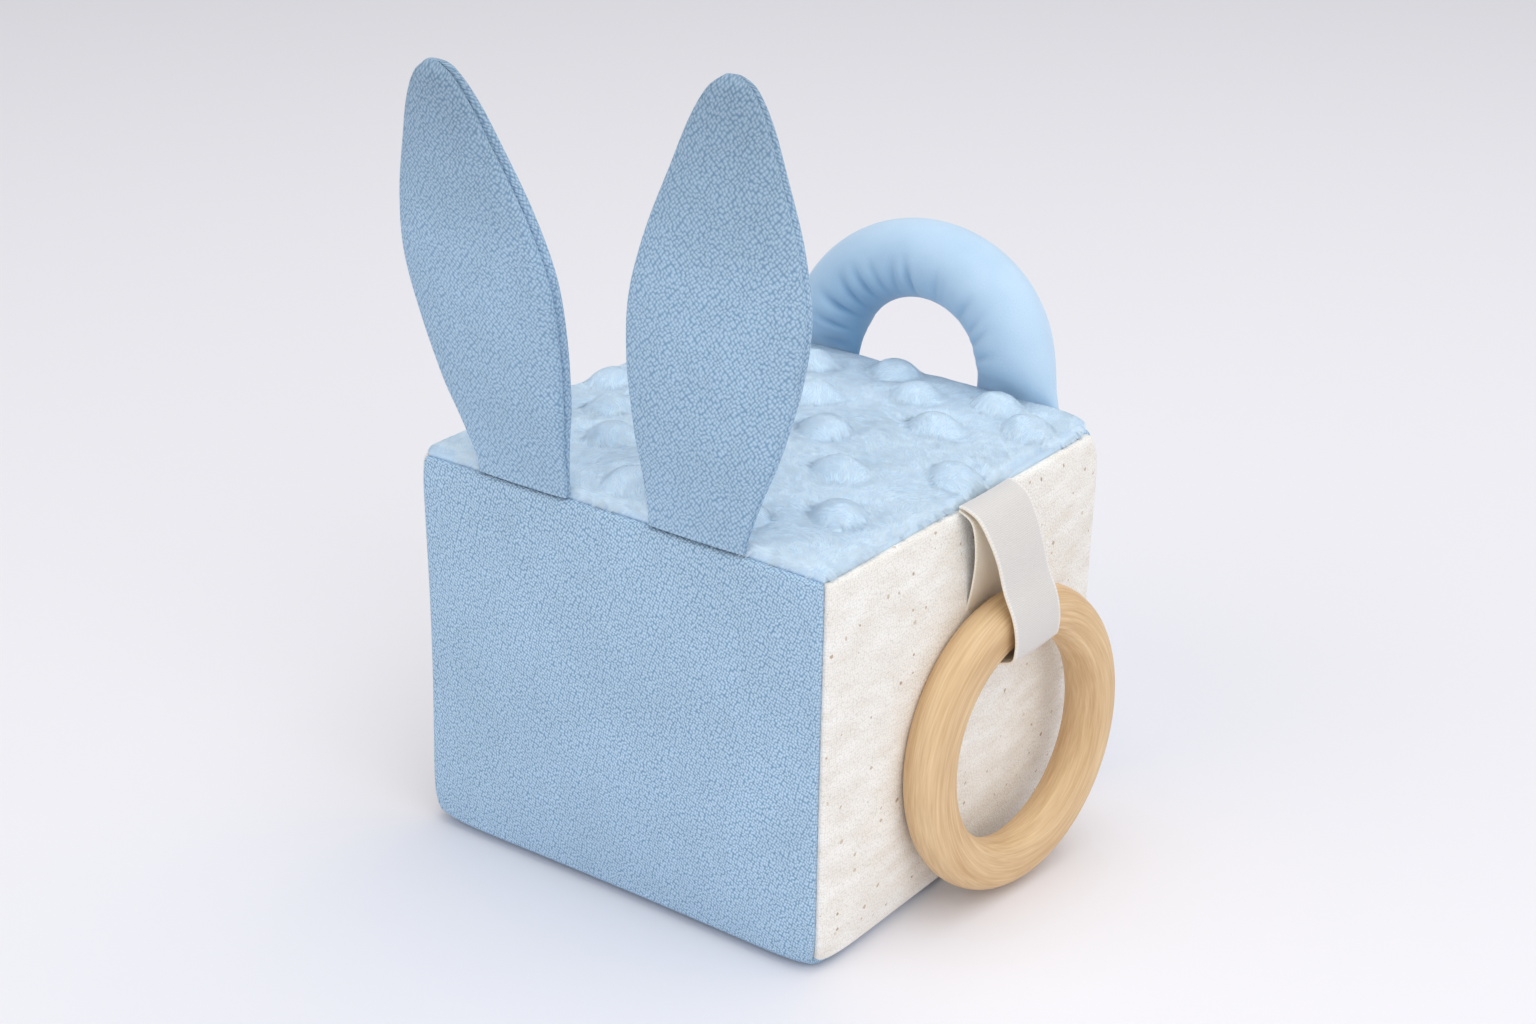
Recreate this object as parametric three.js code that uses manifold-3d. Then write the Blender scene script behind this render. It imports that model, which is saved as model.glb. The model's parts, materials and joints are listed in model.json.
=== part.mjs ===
// Soft fabric block with two long ears, a stuffed grab handle and a wooden ring on a ribbon loop.
// Sizes are millimetres. +X runs to the right along the front face, +Y to the back and +Z up.
// The origin is the middle of the face that the block rests on.

import * as THREE from 'three';
import Module from 'manifold-3d';
import { ConvexGeometry } from 'three/addons/geometries/ConvexGeometry.js';
import { mergeVertices } from 'three/addons/utils/BufferGeometryUtils.js';

// Cloths and clearances
const knitThickness = 1.2;
const plushThickness = 1.6;
const linenThickness = 1.2;
const ribbonThickness = 0.5;
const fitGap = 0.3;

// Block: how far its faces swell, how its seams run, and how its panels turn in
const blockWidth = 101.2;
const blockDepth = 101.2;
const blockHeight = 86;
const sideCrown = 1.3;
const topCrown = 2.2;
const frontSeamBow = 0.3;
const sideSeamSag = 0.7;
const edgeDraw = 0.7;
const edgeRound = 2;
const topCornerDraw = 0.2;
const bottomCornerDraw = 2.2;
const seamAllowance = 4.6;

// Raised dots woven into the plush of the top panel
const dotRadius = 5.5;
const dotHeight = 3;
const dotSink = 0.8;
const dotSides = 10;

// Where the dots sit, as shares of the half width and the half depth of the block
const dotPlaceShares = [
  [-0.62, -0.255], [-0.41, -0.51], [-0.85, 0.03], [-0.07, -0.81], [-0.03, 0.355], [0.24, 0.065],
  [0.52, -0.23], [0.75, -0.555], [0.045, 0.86], [0.3, 0.64], [0.555, 0.39], [0.87, 0.06],
  [0.61, 0.78], [-0.27, 0.69], [0.83, 0.66], [-0.83, 0.62], [-0.57, 0.34], [-0.3, 0.05],
  [-0.05, -0.24], [0.2, -0.53], [-0.66, -0.81], [0.46, -0.8],
];

// Ears: one outline, held up by its own lean and curl on each side
const earLength = 89.7;
const earHalfWidth = 18.4;
const earStiffenerThickness = 0.8;
const earWaddingThickness = 1.3;
const earRootSetback = 0.3;
const earRows = 15;
const leftEar = { rootX: -23.4, leanX: -16.6, curlX: 13.8, leanY: -5, curlY: -14.2, twist: -0.01 };
const rightEar = { rootX: 20, leanX: 8.9, curlX: -1.35, leanY: 3.5, curlY: -3.8, twist: 0.15 };

// Ear outline from root to tip, as shares of its half width and of its length
const earOutlineShares = [
  [0.625, 0], [0.72, 0.1], [0.84, 0.2], [0.965, 0.35], [1, 0.5],
  [0.855, 0.65], [0.605, 0.8], [0.43, 0.9], [0.25, 0.97], [0.07, 1],
];

// Handle: an arch of stuffed tube whose flattened feet are sewn into the back seam
const handleCentreX = 4;
const handleHalfSpan = 24.2;
const handleArchRise = 20.9;
const handleLegLength = 4;
const handleTubeRadius = 8.6;
const handleFootHalfWidth = 11.9;
const handleFootHalfThickness = 1.9;
const handleFootSetback = 0.5;
const handleFootLift = 0.3;
const handleSwellLength = 12;
const handleStuffingStart = 4;
const handleLean = 11;
const handleSteps = 20;
const handleLegSteps = 3;
const handleSides = 12;

// Wooden ring, held by the ribbon and turned a little towards the front
const ringDiameter = 65;
const ringBandWidth = 10.6;
const ringBandDepth = 9.2;
const ringY = 4.8;
const ringYaw = -5;
const ringTilt = 2.4;
const ringSlack = 0.1;
const ringSides = 14;
const ringSteps = 40;

// Ribbon: a strip folded over the ring with both ends in the right-hand top seam
const ribbonWidth = 16;
const ribbonDrop = 20.1;
const ribbonSeamY = 3.2;
const ribbonEndLift = 0.4;
const ribbonEndReach = 0.6;
const ribbonSteps = 40;

// Shares that shape the pieces, each of the size that its line uses it with
const swellPower = 4;
const cornerPower = 14;
const panelShares = [-1, -0.9, -0.5, 0, 0.5, 0.9, 1];
const rollInsetShare = 0.45;
const rollDepthShare = 0.15;
const mouthShare = 0.55;
const dotRingShares = [[1, 0], [0.8, 0.6]];
const earRimShare = 0.15;
const earTwistShare = 0.35;
const earSwellShare = 0.22;
const earTipShare = 0.75;
const earAcrossShares = [-1, -0.96, -0.84, -0.5, 0, 0.5, 0.84, 0.96, 1];
const earAcrossPower = 3;
const earRootAngles = [78, 45];
const waddingSpan = { lowShare: 0.2, highShare: 0.88, sideShare: 0.7, rows: 8, columns: 4 };
const stiffenerSpan = { lowShare: 0.17, highShare: 0.9, sideShare: 0.74, rows: 8, columns: 4 };
const ringSquareness = 2.5;

// Ribbon's route down its outer leg, round under the ring's band and up its inner leg, as shares:
// how far it has come in from its outermost place to the block, and down from the seam
const ribbonRouteShares = [
  [0.94, 0], [0.74, 0.045], [0.56, 0.15], [0.39, 0.3], [0.24, 0.5], [0.07, 0.65], [0, 0.77], [0, 0.88],
  [0.09, 0.965], [0.5, 1], [0.91, 0.965], [1, 0.88], [1, 0.74], [0.9, 0.565], [0.83, 0.395],
  [0.81, 0.195], [0.88, 0.07],
];

// Finishes
const knitBlue = finish(0xa3c3e4, 0.95);
const plushBlue = finish(0xaed0f2, 0.95);
const handleBlue = finish(0x9cc4ea, 0.9);
const cream = finish(0xf1ebe0, 0.95);
const satinWhite = finish(0xf3f0ea, 0.5);
const paleWood = finish(0xe2c092, 0.55);
const foamYellow = finish(0xf0e6c0, 1);
const waddingWhite = finish(0xf4f4f2, 1);
const feltGrey = finish(0xdcdcd8, 1);

function finish(color, roughness) {
  return new THREE.MeshStandardMaterial({ color, roughness, metalness: 0 });
}

const wasm = await Module();
wasm.setup();

const halfWidth = blockWidth / 2;
const halfDepth = blockDepth / 2;
const halfHeight = blockHeight / 2;
const seamGapOffset = fitGap / (2 * Math.SQRT2);
const radians = (degrees) => THREE.MathUtils.degToRad(degrees);

// Closed solid between an outer and an inner sheet of points that share one layout
function sheetSolid(outer, inner, triangles, border) {
  const count = outer.length;
  const index = [];
  for (const [a, b, c] of triangles) {
    index.push(a, b, c);
    index.push(count + c, count + b, count + a);
  }
  border.forEach((here, k) => {
    const next = border[(k + 1) % border.length];
    index.push(next, here, count + here);
    index.push(next, count + here, count + next);
  });
  const geometry = new THREE.BufferGeometry().setFromPoints([...outer, ...inner]);
  geometry.setIndex(index);
  return geometry;
}

// Grid of columns by rows: its triangles, and its border in order
function gridLayout(columns, rows) {
  const at = (i, j) => j * (columns + 1) + i;
  const triangles = [];
  for (let j = 0; j < rows; j++) {
    for (let i = 0; i < columns; i++) {
      triangles.push([at(i, j), at(i + 1, j), at(i + 1, j + 1)]);
      triangles.push([at(i, j), at(i + 1, j + 1), at(i, j + 1)]);
    }
  }
  const border = [];
  for (let i = 0; i < columns; i++) border.push(at(i, 0));
  for (let j = 0; j < rows; j++) border.push(at(columns, j));
  for (let i = columns; i > 0; i--) border.push(at(i, rows));
  for (let j = rows; j > 0; j--) border.push(at(0, j));
  return { triangles, border };
}

// Place on the stuffed block's surface for a place on a cube that runs from -1 to 1
function blockSurface(x, y, z) {
  const swell = (p, q) => (1 - p ** swellPower) * (1 - q ** swellPower);
  const atSeam = (p, q) => (1 - p * p) * q ** swellPower;
  const draw = (p, q) => edgeDraw * (atSeam(p, q) + atSeam(q, p));
  const out = (p, q) => sideCrown * swell(p, q) - draw(p, q);
  const lift = topCrown * swell(x, y) + frontSeamBow * atSeam(x, y) - sideSeamSag * atSeam(y, x);
  const cornerDraw = z > 0 ? topCornerDraw : bottomCornerDraw;
  const corner = cornerDraw * Math.abs(x * y * z) ** cornerPower;
  return new THREE.Vector3(
    x * (halfWidth + out(y, z) - corner),
    y * (halfDepth + out(x, z) - corner),
    halfHeight + z * (halfHeight - corner) + Math.max(z, 0) ** 3 * lift,
  );
}

// Place on one face of the block, at u and v across it, set in from its border and into the block
function facePlace([axis, first, second], side, u, v, { inset, depth }) {
  const cube = [0, 0, 0];
  cube[axis] = side;
  cube[first] = u;
  cube[second] = v;
  const point = blockSurface(...cube).toArray();
  point[first] -= u * inset;
  point[second] -= v * inset;
  point[axis] -= side * depth;
  return new THREE.Vector3(...point);
}

// How the inside of a panel lies: its face, the corner behind its seam and its turned-in edge
function panelInside(thickness) {
  const slant = thickness / Math.SQRT2;
  const innerStart = thickness + seamGapOffset + slant;
  const turn = (reach) => ({
    inset: reach + seamGapOffset + slant,
    depth: reach - seamGapOffset - slant,
  });
  const corner = turn(innerStart);
  return { turn, corner, innerStart, faceInset: corner.inset + edgeRound };
}

// One cloth panel of the block: a face that rolls into its seams, with its edges turned in
function panelGeometry(axis, side, thickness) {
  const [first, second] = side > 0 ? [(axis + 1) % 3, (axis + 2) % 3] : [(axis + 2) % 3, (axis + 1) % 3];
  const n = panelShares.length - 1;
  const { turn, corner, innerStart, faceInset } = panelInside(thickness);
  const mouth = mouthShare * edgeRound;
  const outerRings = [
    { inset: edgeRound, depth: 0 },
    { inset: rollInsetShare * edgeRound, depth: rollDepthShare * edgeRound },
    { inset: mouth + seamGapOffset, depth: mouth - seamGapOffset },
    { inset: seamAllowance + seamGapOffset, depth: seamAllowance - seamGapOffset },
  ];
  const innerRings = [
    { inset: faceInset, depth: thickness },
    corner,
    turn((innerStart + seamAllowance) / 2),
    turn(seamAllowance),
  ];
  const place = (u, v, ring) => facePlace([axis, first, second], side, u, v, ring);
  const { triangles, border } = gridLayout(n, n);
  const sheet = (rings) => {
    const points = [];
    for (let j = 0; j <= n; j++) {
      for (let i = 0; i <= n; i++) points.push(place(panelShares[i], panelShares[j], rings[0]));
    }
    for (const ring of rings.slice(1)) {
      for (const k of border) {
        points.push(place(panelShares[k % (n + 1)], panelShares[Math.floor(k / (n + 1))], ring));
      }
    }
    return points;
  };
  let edge = border;
  for (let ring = 1; ring < outerRings.length; ring++) {
    const start = (n + 1) ** 2 + (ring - 1) * border.length;
    const next = border.map((_, k) => start + k);
    edge.forEach((here, k) => {
      const after = (k + 1) % edge.length;
      triangles.push([next[k], next[after], edge[after]]);
      triangles.push([next[k], edge[after], here]);
    });
    edge = next;
  }
  return sheetSolid(sheet(outerRings), sheet(innerRings), triangles, edge);
}

// Foam core: a block with its edges cut off to clear the turned-in seams, and crowned faces
function foamGeometry() {
  const loss = edgeDraw + sideSeamSag;
  const cornerShare = panelShares[panelShares.length - 2];
  const reach = 2 * seamAllowance + 2 * fitGap + loss - knitThickness;
  const inset = (reach - (1 - cornerShare) * halfHeight) / cornerShare;
  const points = [];
  for (const axis of [0, 1, 2]) {
    const axes = [axis, (axis + 1) % 3, (axis + 2) % 3];
    for (const side of [-1, 1]) {
      const thickness = axis === 2 && side > 0 ? plushThickness : knitThickness;
      const lay = thickness + fitGap;
      const edge = { inset, depth: lay + loss };
      for (const u of [-cornerShare, cornerShare]) {
        for (const v of [-cornerShare, cornerShare]) points.push(facePlace(axes, side, u, v, edge));
      }
      if (axis === 2 && side < 0) continue;
      const face = { inset: panelInside(thickness).faceInset, depth: lay };
      for (const u of panelShares.slice(2, -2)) {
        for (const v of panelShares.slice(2, -2)) points.push(facePlace(axes, side, u, v, face));
      }
    }
  }
  return mergeVertices(withPositionOnly(new ConvexGeometry(points)));
}

function withPositionOnly(geometry) {
  for (const name of ['normal', 'uv']) geometry.deleteAttribute(name);
  return geometry;
}

// Boolean join of closed solids
function join(geometries) {
  const solids = geometries.map((geometry) => {
    const merged = mergeVertices(withPositionOnly(geometry));
    return new wasm.Manifold(new wasm.Mesh({
      numProp: 3,
      vertProperties: new Float32Array(merged.getAttribute('position').array),
      triVerts: new Uint32Array(merged.getIndex().array),
    }));
  });
  const mesh = solids.reduce((sum, solid) => sum.add(solid)).getMesh();
  const geometry = new THREE.BufferGeometry();
  geometry.setAttribute('position', new THREE.BufferAttribute(mesh.vertProperties, 3));
  geometry.setIndex([...mesh.triVerts]);
  return geometry;
}

// One raised dot, standing square to the crowned plush and rooted in it
function dotGeometry(xShare, yShare) {
  const profile = [new THREE.Vector2(0, -dotSink), new THREE.Vector2(dotRadius, -dotSink)];
  for (const [radiusShare, heightShare] of dotRingShares) {
    profile.push(new THREE.Vector2(radiusShare * dotRadius, heightShare * dotHeight));
  }
  profile.push(new THREE.Vector2(0, dotHeight));
  const here = blockSurface(xShare, yShare, 1);
  const aside = blockSurface(xShare + dotRadius / blockWidth, yShare, 1).sub(here);
  const behind = blockSurface(xShare, yShare + dotRadius / blockDepth, 1).sub(here);
  const up = aside.cross(behind).normalize();
  const geometry = new THREE.LatheGeometry(profile, dotSides);
  geometry.applyQuaternion(new THREE.Quaternion().setFromUnitVectors(new THREE.Vector3(0, 1, 0), up));
  return geometry.translate(here.x, here.y, here.z);
}

// Height of the seam between the top panel and the front or back panel, at a place across
const endSeam = (x, side) => blockSurface(x / halfWidth, side, 1);

// Ear: place of its middle line, and its directions, at a share of its length
const earHalfThickness = earStiffenerThickness / 2 + earWaddingThickness + 2 * fitGap + knitThickness;
const earRootHalf = knitThickness + fitGap / 2;

function earFrame(ear, share) {
  const steps = earRows;
  const slope = (s) => [ear.leanX + 2 * ear.curlX * s, ear.leanY + 2 * ear.curlY * s];
  const climb = (s) => Math.sqrt(earLength ** 2 - slope(s)[0] ** 2 - slope(s)[1] ** 2);
  let height = 0;
  for (let k = 0; k < steps; k++) height += (climb(((k + 0.5) * share) / steps) * share) / steps;
  const middle = new THREE.Vector3(
    ear.leanX * share + ear.curlX * share ** 2,
    ear.leanY * share + ear.curlY * share ** 2,
    height,
  );
  const [slopeX, slopeY] = slope(Math.max(share, 0));
  const along = new THREE.Vector3(slopeX, slopeY, climb(Math.max(share, 0))).normalize();
  const turn = ear.twist * Math.min(Math.max(share, 0) / earTwistShare, 1);
  const across = new THREE.Vector3(Math.cos(turn), Math.sin(turn), 0);
  const front = across.clone().cross(along).normalize();
  return { middle, across, front };
}

const earOutline = new THREE.SplineCurve(
  earOutlineShares.map(([widthShare, lengthShare]) => new THREE.Vector2(widthShare, lengthShare)),
);

// Half width of the ear, as a share, where its outline reaches a share of its length
function earWidthShare(share) {
  let low = 0;
  let high = 1;
  for (let k = 0; k < earRows; k++) {
    const middle = (low + high) / 2;
    if (earOutline.getPoint(middle).y < share) low = middle;
    else high = middle;
  }
  return earOutline.getPoint(low).x;
}

// Half thickness of the ear's filled pocket along its length
function earThicknessAt(share) {
  const rise = Math.min(share / earSwellShare, 1);
  const past = Math.max(share - earTipShare, 0) / (1 - earTipShare);
  const swollen = earRootHalf + (earHalfThickness - earRootHalf) * rise * rise * (3 - 2 * rise);
  return earRootHalf + (swollen - earRootHalf) * Math.sqrt(1 - Math.min(past, 1) ** 2);
}

// How far the ear's outside stands from its middle sheet
function earOutside(thickness, acrossShare) {
  const round = Math.sqrt(1 - Math.abs(acrossShare) ** earAcrossPower);
  return fitGap / 2 + (thickness - fitGap / 2) * (earRimShare + (1 - earRimShare) * round);
}

const earInside = (outside) => Math.max(outside - knitThickness, fitGap / 2);

// Sheet of points on one side of the ear, from rows of place, width and depth
function earSheet(ear, rows, side, depthAt) {
  const points = [];
  for (const row of rows) {
    const { middle, across, front } = earFrame(ear, Math.max(row.share, 0));
    for (const acrossShare of row.across) {
      const point = middle.clone();
      point.z -= row.drop;
      point.addScaledVector(across, acrossShare * row.halfWidth);
      point.addScaledVector(front, side * depthAt(row, acrossShare));
      points.push(point);
    }
  }
  return points;
}

// One skin of an ear: side is 1 for the front and -1 for the back
function earSkinGeometry(ear, side) {
  const rows = earRootAngles.map((angle) => ({
    share: 0,
    drop: earRootHalf * Math.sin(radians(angle)),
    halfWidth: earOutlineShares[0][0] * earHalfWidth,
    thickness: Math.max(earRootHalf * Math.cos(radians(angle)), fitGap),
  }));
  for (let k = 0; k <= earRows; k++) {
    const { x: widthShare, y: share } = earOutline.getPoint(k / earRows);
    rows.push({ share, drop: 0, halfWidth: widthShare * earHalfWidth, thickness: earThicknessAt(share) });
  }
  for (const row of rows) row.across = earAcrossShares;
  const outside = (row, across) => earOutside(row.thickness, across);
  const inside = (row, across) => earInside(outside(row, across));
  const { triangles, border } = gridLayout(earAcrossShares.length - 1, rows.length - 1);
  const outer = earSheet(ear, rows, side, outside);
  const inner = earSheet(ear, rows, side, inside);
  return side > 0
    ? sheetSolid(outer, inner, triangles, border)
    : sheetSolid(inner, outer, triangles, border);
}

// A flat layer inside an ear, between two depths from its middle sheet
function earLayerGeometry(ear, span, side, nearAt, farAt) {
  const rows = [];
  for (let k = 0; k <= span.rows; k++) {
    const share = span.lowShare + ((span.highShare - span.lowShare) * k) / span.rows;
    const across = [];
    for (let i = 0; i <= span.columns; i++) across.push(((2 * i) / span.columns - 1) * span.sideShare);
    const halfWidth = earWidthShare(share) * earHalfWidth;
    rows.push({ share, drop: 0, halfWidth, across, thickness: earThicknessAt(share) });
  }
  const { triangles, border } = gridLayout(span.columns, span.rows);
  const far = earSheet(ear, rows, side, farAt);
  const near = earSheet(ear, rows, side, nearAt);
  return side > 0 ? sheetSolid(far, near, triangles, border) : sheetSolid(near, far, triangles, border);
}

function earPieces(ear, name) {
  const group = new THREE.Group();
  const half = earStiffenerThickness / 2;
  const waddingNear = () => half + fitGap;
  const waddingFar = (row, across) => earInside(earOutside(row.thickness, across)) - fitGap;
  group.add(piece(`${name}_front`, earSkinGeometry(ear, 1), knitBlue));
  group.add(piece(`${name}_back`, earSkinGeometry(ear, -1), knitBlue));
  const stiffener = earLayerGeometry(ear, stiffenerSpan, 1, () => -half, () => half);
  group.add(piece(`${name}_stiffener`, stiffener, feltGrey));
  for (const [word, side] of [['front', 1], ['back', -1]]) {
    const wadding = earLayerGeometry(ear, waddingSpan, side, waddingNear, waddingFar);
    group.add(piece(`${name}_${word}_wadding`, wadding, waddingWhite));
  }
  const seam = endSeam(ear.rootX, -1);
  const nearest = Math.max(Math.abs(ear.rootX) - earOutlineShares[0][0] * earHalfWidth, 0);
  const highest = endSeam(nearest, -1).z;
  group.position.set(ear.rootX, seam.y + earRootSetback, highest + earRootHalf);
  return group;
}

// Handle: places along its middle line, from the right foot over the arch to the left foot
function handlePlaces() {
  const places = [];
  for (let k = -handleLegSteps; k <= handleSteps + handleLegSteps; k++) {
    const turn = Math.PI * Math.min(Math.max(k / handleSteps, 0), 1);
    const below = Math.min(Math.max(-k, k - handleSteps, 0) / handleLegSteps, 1);
    const x = handleHalfSpan * Math.cos(turn);
    const rise = handleLegLength * (1 - below) + handleArchRise * Math.sin(turn);
    const outward = new THREE.Vector2(Math.cos(turn) / handleHalfSpan, Math.sin(turn) / handleArchRise);
    places.push({ x, rise, outward: outward.normalize() });
  }
  let length = 0;
  places.forEach((place, k) => {
    if (k > 0) length += Math.hypot(place.x - places[k - 1].x, place.rise - places[k - 1].rise);
    place.length = length;
  });
  for (const place of places) {
    place.fromFoot = Math.min(place.length, length - place.length);
    const swell = Math.sin((Math.min(place.fromFoot / handleSwellLength, 1) * Math.PI) / 2);
    place.halfWidth = THREE.MathUtils.lerp(handleFootHalfWidth, handleTubeRadius, swell);
    place.halfThickness = THREE.MathUtils.lerp(handleFootHalfThickness, handleTubeRadius, swell);
  }
  return places;
}

// Rings of points round the handle's middle line, drawn in by a wall
function handleRings(places, wall) {
  return places.map((place) => {
    const ring = [];
    for (let k = 0; k < handleSides; k++) {
      const angle = (2 * Math.PI * k) / handleSides;
      const outwards = (place.halfWidth - wall) * Math.cos(angle);
      ring.push(new THREE.Vector3(
        place.x + place.outward.x * outwards,
        (place.halfThickness - wall) * Math.sin(angle),
        place.rise + place.outward.y * outwards,
      ));
    }
    return ring;
  });
}

// Loft through rings of points, closed by a last ring inside it or by flat ends
function loftGeometry(outerRings, innerRings) {
  const sides = outerRings[0].length;
  const points = outerRings.flat();
  const index = [];
  const skin = (start, count, flip) => {
    for (let j = 0; j < count - 1; j++) {
      for (let i = 0; i < sides; i++) {
        const a = start + j * sides + i;
        const b = start + j * sides + ((i + 1) % sides);
        const corners = [a, b, b + sides, a, b + sides, a + sides];
        index.push(...(flip ? corners.reverse() : corners));
      }
    }
  };
  skin(0, outerRings.length, false);
  const last = (outerRings.length - 1) * sides;
  if (innerRings) {
    const start = points.length;
    points.push(...innerRings.flat());
    skin(start, innerRings.length, true);
    for (let i = 0; i < sides; i++) {
      const next = (i + 1) % sides;
      index.push(next, i, start + i, next, start + i, start + next);
      index.push(last + i, last + next, start + last + next, last + i, start + last + next, start + last + i);
    }
  } else {
    for (let i = 1; i < sides - 1; i++) {
      index.push(0, i + 1, i);
      index.push(last, last + i, last + i + 1);
    }
  }
  const geometry = new THREE.BufferGeometry().setFromPoints(points);
  geometry.setIndex(index);
  return geometry;
}

function handlePieces() {
  const places = handlePlaces();
  const filled = places.filter((place) => place.fromFoot >= handleStuffingStart);
  const sleeve = loftGeometry(handleRings(places, 0), handleRings(places, knitThickness));
  const stuffing = loftGeometry(handleRings(filled, knitThickness + fitGap));
  const group = new THREE.Group();
  for (const [name, geometry, material] of [
    ['handle_sleeve', sleeve, handleBlue],
    ['handle_stuffing', stuffing, waddingWhite],
  ]) {
    geometry.rotateX(-radians(handleLean));
    followSeam(geometry);
    group.add(piece(name, geometry, material));
  }
  group.position.set(handleCentreX, endSeam(handleCentreX, 1).y - handleFootSetback, blockHeight + handleFootLift);
  return group;
}

// Lift every point of the handle by the bow of the seam that it is sewn into
function followSeam(geometry) {
  const position = geometry.getAttribute('position');
  for (let k = 0; k < position.count; k++) {
    const bow = endSeam(position.getX(k) + handleCentreX, 1).z - blockHeight;
    position.setZ(k, position.getZ(k) + bow);
  }
}

// Wooden ring, turned on a lathe: its axis ends up along X
const ringMiddleRadius = (ringDiameter - ringBandWidth) / 2;
const ringHoleRadius = ringMiddleRadius - ringBandWidth / 2;
const ringHeight = blockHeight - ribbonDrop - ringDiameter / 2;
const ribbonSway = (ribbonWidth / 2) * Math.abs(Math.sin(radians(ringYaw)));
const ringLeanIn = ringMiddleRadius * Math.sin(radians(ringTilt));
const ringStandOff = sideCrown + 2 * fitGap + ribbonThickness + ribbonSway + ringLeanIn + ringSlack;
const ringX = halfWidth + ringStandOff + ringBandDepth / 2;

function ringGeometry() {
  const profile = [];
  for (let k = 0; k <= ringSides; k++) {
    const angle = (2 * Math.PI * (k % ringSides)) / ringSides;
    const square = (value) => Math.sign(value) * Math.abs(value) ** (2 / ringSquareness);
    profile.push(new THREE.Vector2(
      ringMiddleRadius + (ringBandWidth / 2) * square(Math.cos(angle)),
      (ringBandDepth / 2) * square(Math.sin(angle)),
    ));
  }
  return new THREE.LatheGeometry(profile, ringSteps).rotateZ(-Math.PI / 2);
}

// Ribbon: its middle line in side view, from the seam under the ring's band and back up
function ribbonGeometry() {
  const seam = blockSurface(1, ribbonSeamY / halfDepth, 1);
  const half = ribbonThickness / 2;
  const outerX = ringX - ringLeanIn + ringBandDepth / 2 + ribbonSway + fitGap + half;
  const innerX = halfWidth + sideCrown + fitGap + half;
  const holeTop = ringHeight + Math.sqrt(ringHoleRadius ** 2 - (ribbonWidth / 2) ** 2);
  const bottom = holeTop - fitGap - half;
  const drop = seam.z - bottom;
  const across = outerX - innerX;
  const at = (x, z) => new THREE.Vector2(x, z);
  const middle = new THREE.SplineCurve([
    at(seam.x + ribbonEndReach, seam.z + ribbonEndLift),
    ...ribbonRouteShares.map(([inShare, dropShare]) => at(outerX - inShare * across, seam.z - dropShare * drop)),
    at(seam.x + ribbonEndReach, seam.z - ribbonEndLift),
  ]);
  const left = [];
  const right = [];
  for (let k = 0; k <= ribbonSteps; k++) {
    const point = middle.getPoint(k / ribbonSteps);
    const along = middle.getTangent(k / ribbonSteps);
    left.push(at(point.x - along.y * half, point.y + along.x * half));
    right.push(at(point.x + along.y * half, point.y - along.x * half));
  }
  const strip = new THREE.Shape([...left, ...right.reverse()]);
  const geometry = new THREE.ExtrudeGeometry(strip, { depth: ribbonWidth, bevelEnabled: false, steps: 1 });
  geometry.rotateX(Math.PI / 2);
  const position = geometry.getAttribute('position');
  for (let k = 0; k < position.count; k++) {
    const hang = (seam.z - position.getZ(k)) / drop;
    const middleY = THREE.MathUtils.lerp(ribbonSeamY, ringY, hang);
    position.setY(k, position.getY(k) + middleY + ribbonWidth / 2);
  }
  return geometry;
}

function piece(name, geometry, material) {
  const mesh = new THREE.Mesh(mergeVertices(withPositionOnly(geometry)), material);
  mesh.name = name;
  return mesh;
}

function blockPieces() {
  const group = new THREE.Group();
  const dots = dotPlaceShares.map(([xShare, yShare]) => dotGeometry(xShare, yShare));
  group.add(piece('foam_core', foamGeometry(), foamYellow));
  group.add(piece('front_panel', panelGeometry(1, -1, knitThickness), knitBlue));
  group.add(piece('back_panel', panelGeometry(1, 1, knitThickness), knitBlue));
  group.add(piece('left_panel', panelGeometry(0, -1, linenThickness), cream));
  group.add(piece('right_panel', panelGeometry(0, 1, linenThickness), cream));
  group.add(piece('bottom_panel', panelGeometry(2, -1, knitThickness), knitBlue));
  group.add(piece('top_panel', join([panelGeometry(2, 1, plushThickness), ...dots]), plushBlue));
  return group;
}

const ribbon = piece('ribbon', ribbonGeometry(), satinWhite);
const woodenRing = piece('wooden_ring', ringGeometry(), paleWood);
woodenRing.position.set(ringX, ringY, ringHeight);
woodenRing.rotation.set(0, -radians(ringTilt), radians(ringYaw), 'ZYX');

const softBlock = new THREE.Group();
softBlock.add(blockPieces());
softBlock.add(earPieces(leftEar, 'left_ear'));
softBlock.add(earPieces(rightEar, 'right_ear'));
softBlock.add(handlePieces());
softBlock.add(ribbon);
softBlock.add(woodenRing);

export default softBlock;
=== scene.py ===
# %% [markdown]
# # A soft fabric block, dressed in Blender
# The block is a baby's toy of cloth over foam, about ten centimetres wide. Two padded ears stand in
# its front seam, a stuffed handle stands in its back seam, and a wooden ring hangs on a ribbon at
# its side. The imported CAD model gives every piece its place, and this lesson gives each one its
# cloth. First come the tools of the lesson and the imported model.

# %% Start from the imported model
import json
import math

import bpy
import numpy as np
from mathutils import Matrix, Vector
from mathutils.bvhtree import BVHTree
from mathutils.kdtree import KDTree

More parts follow.
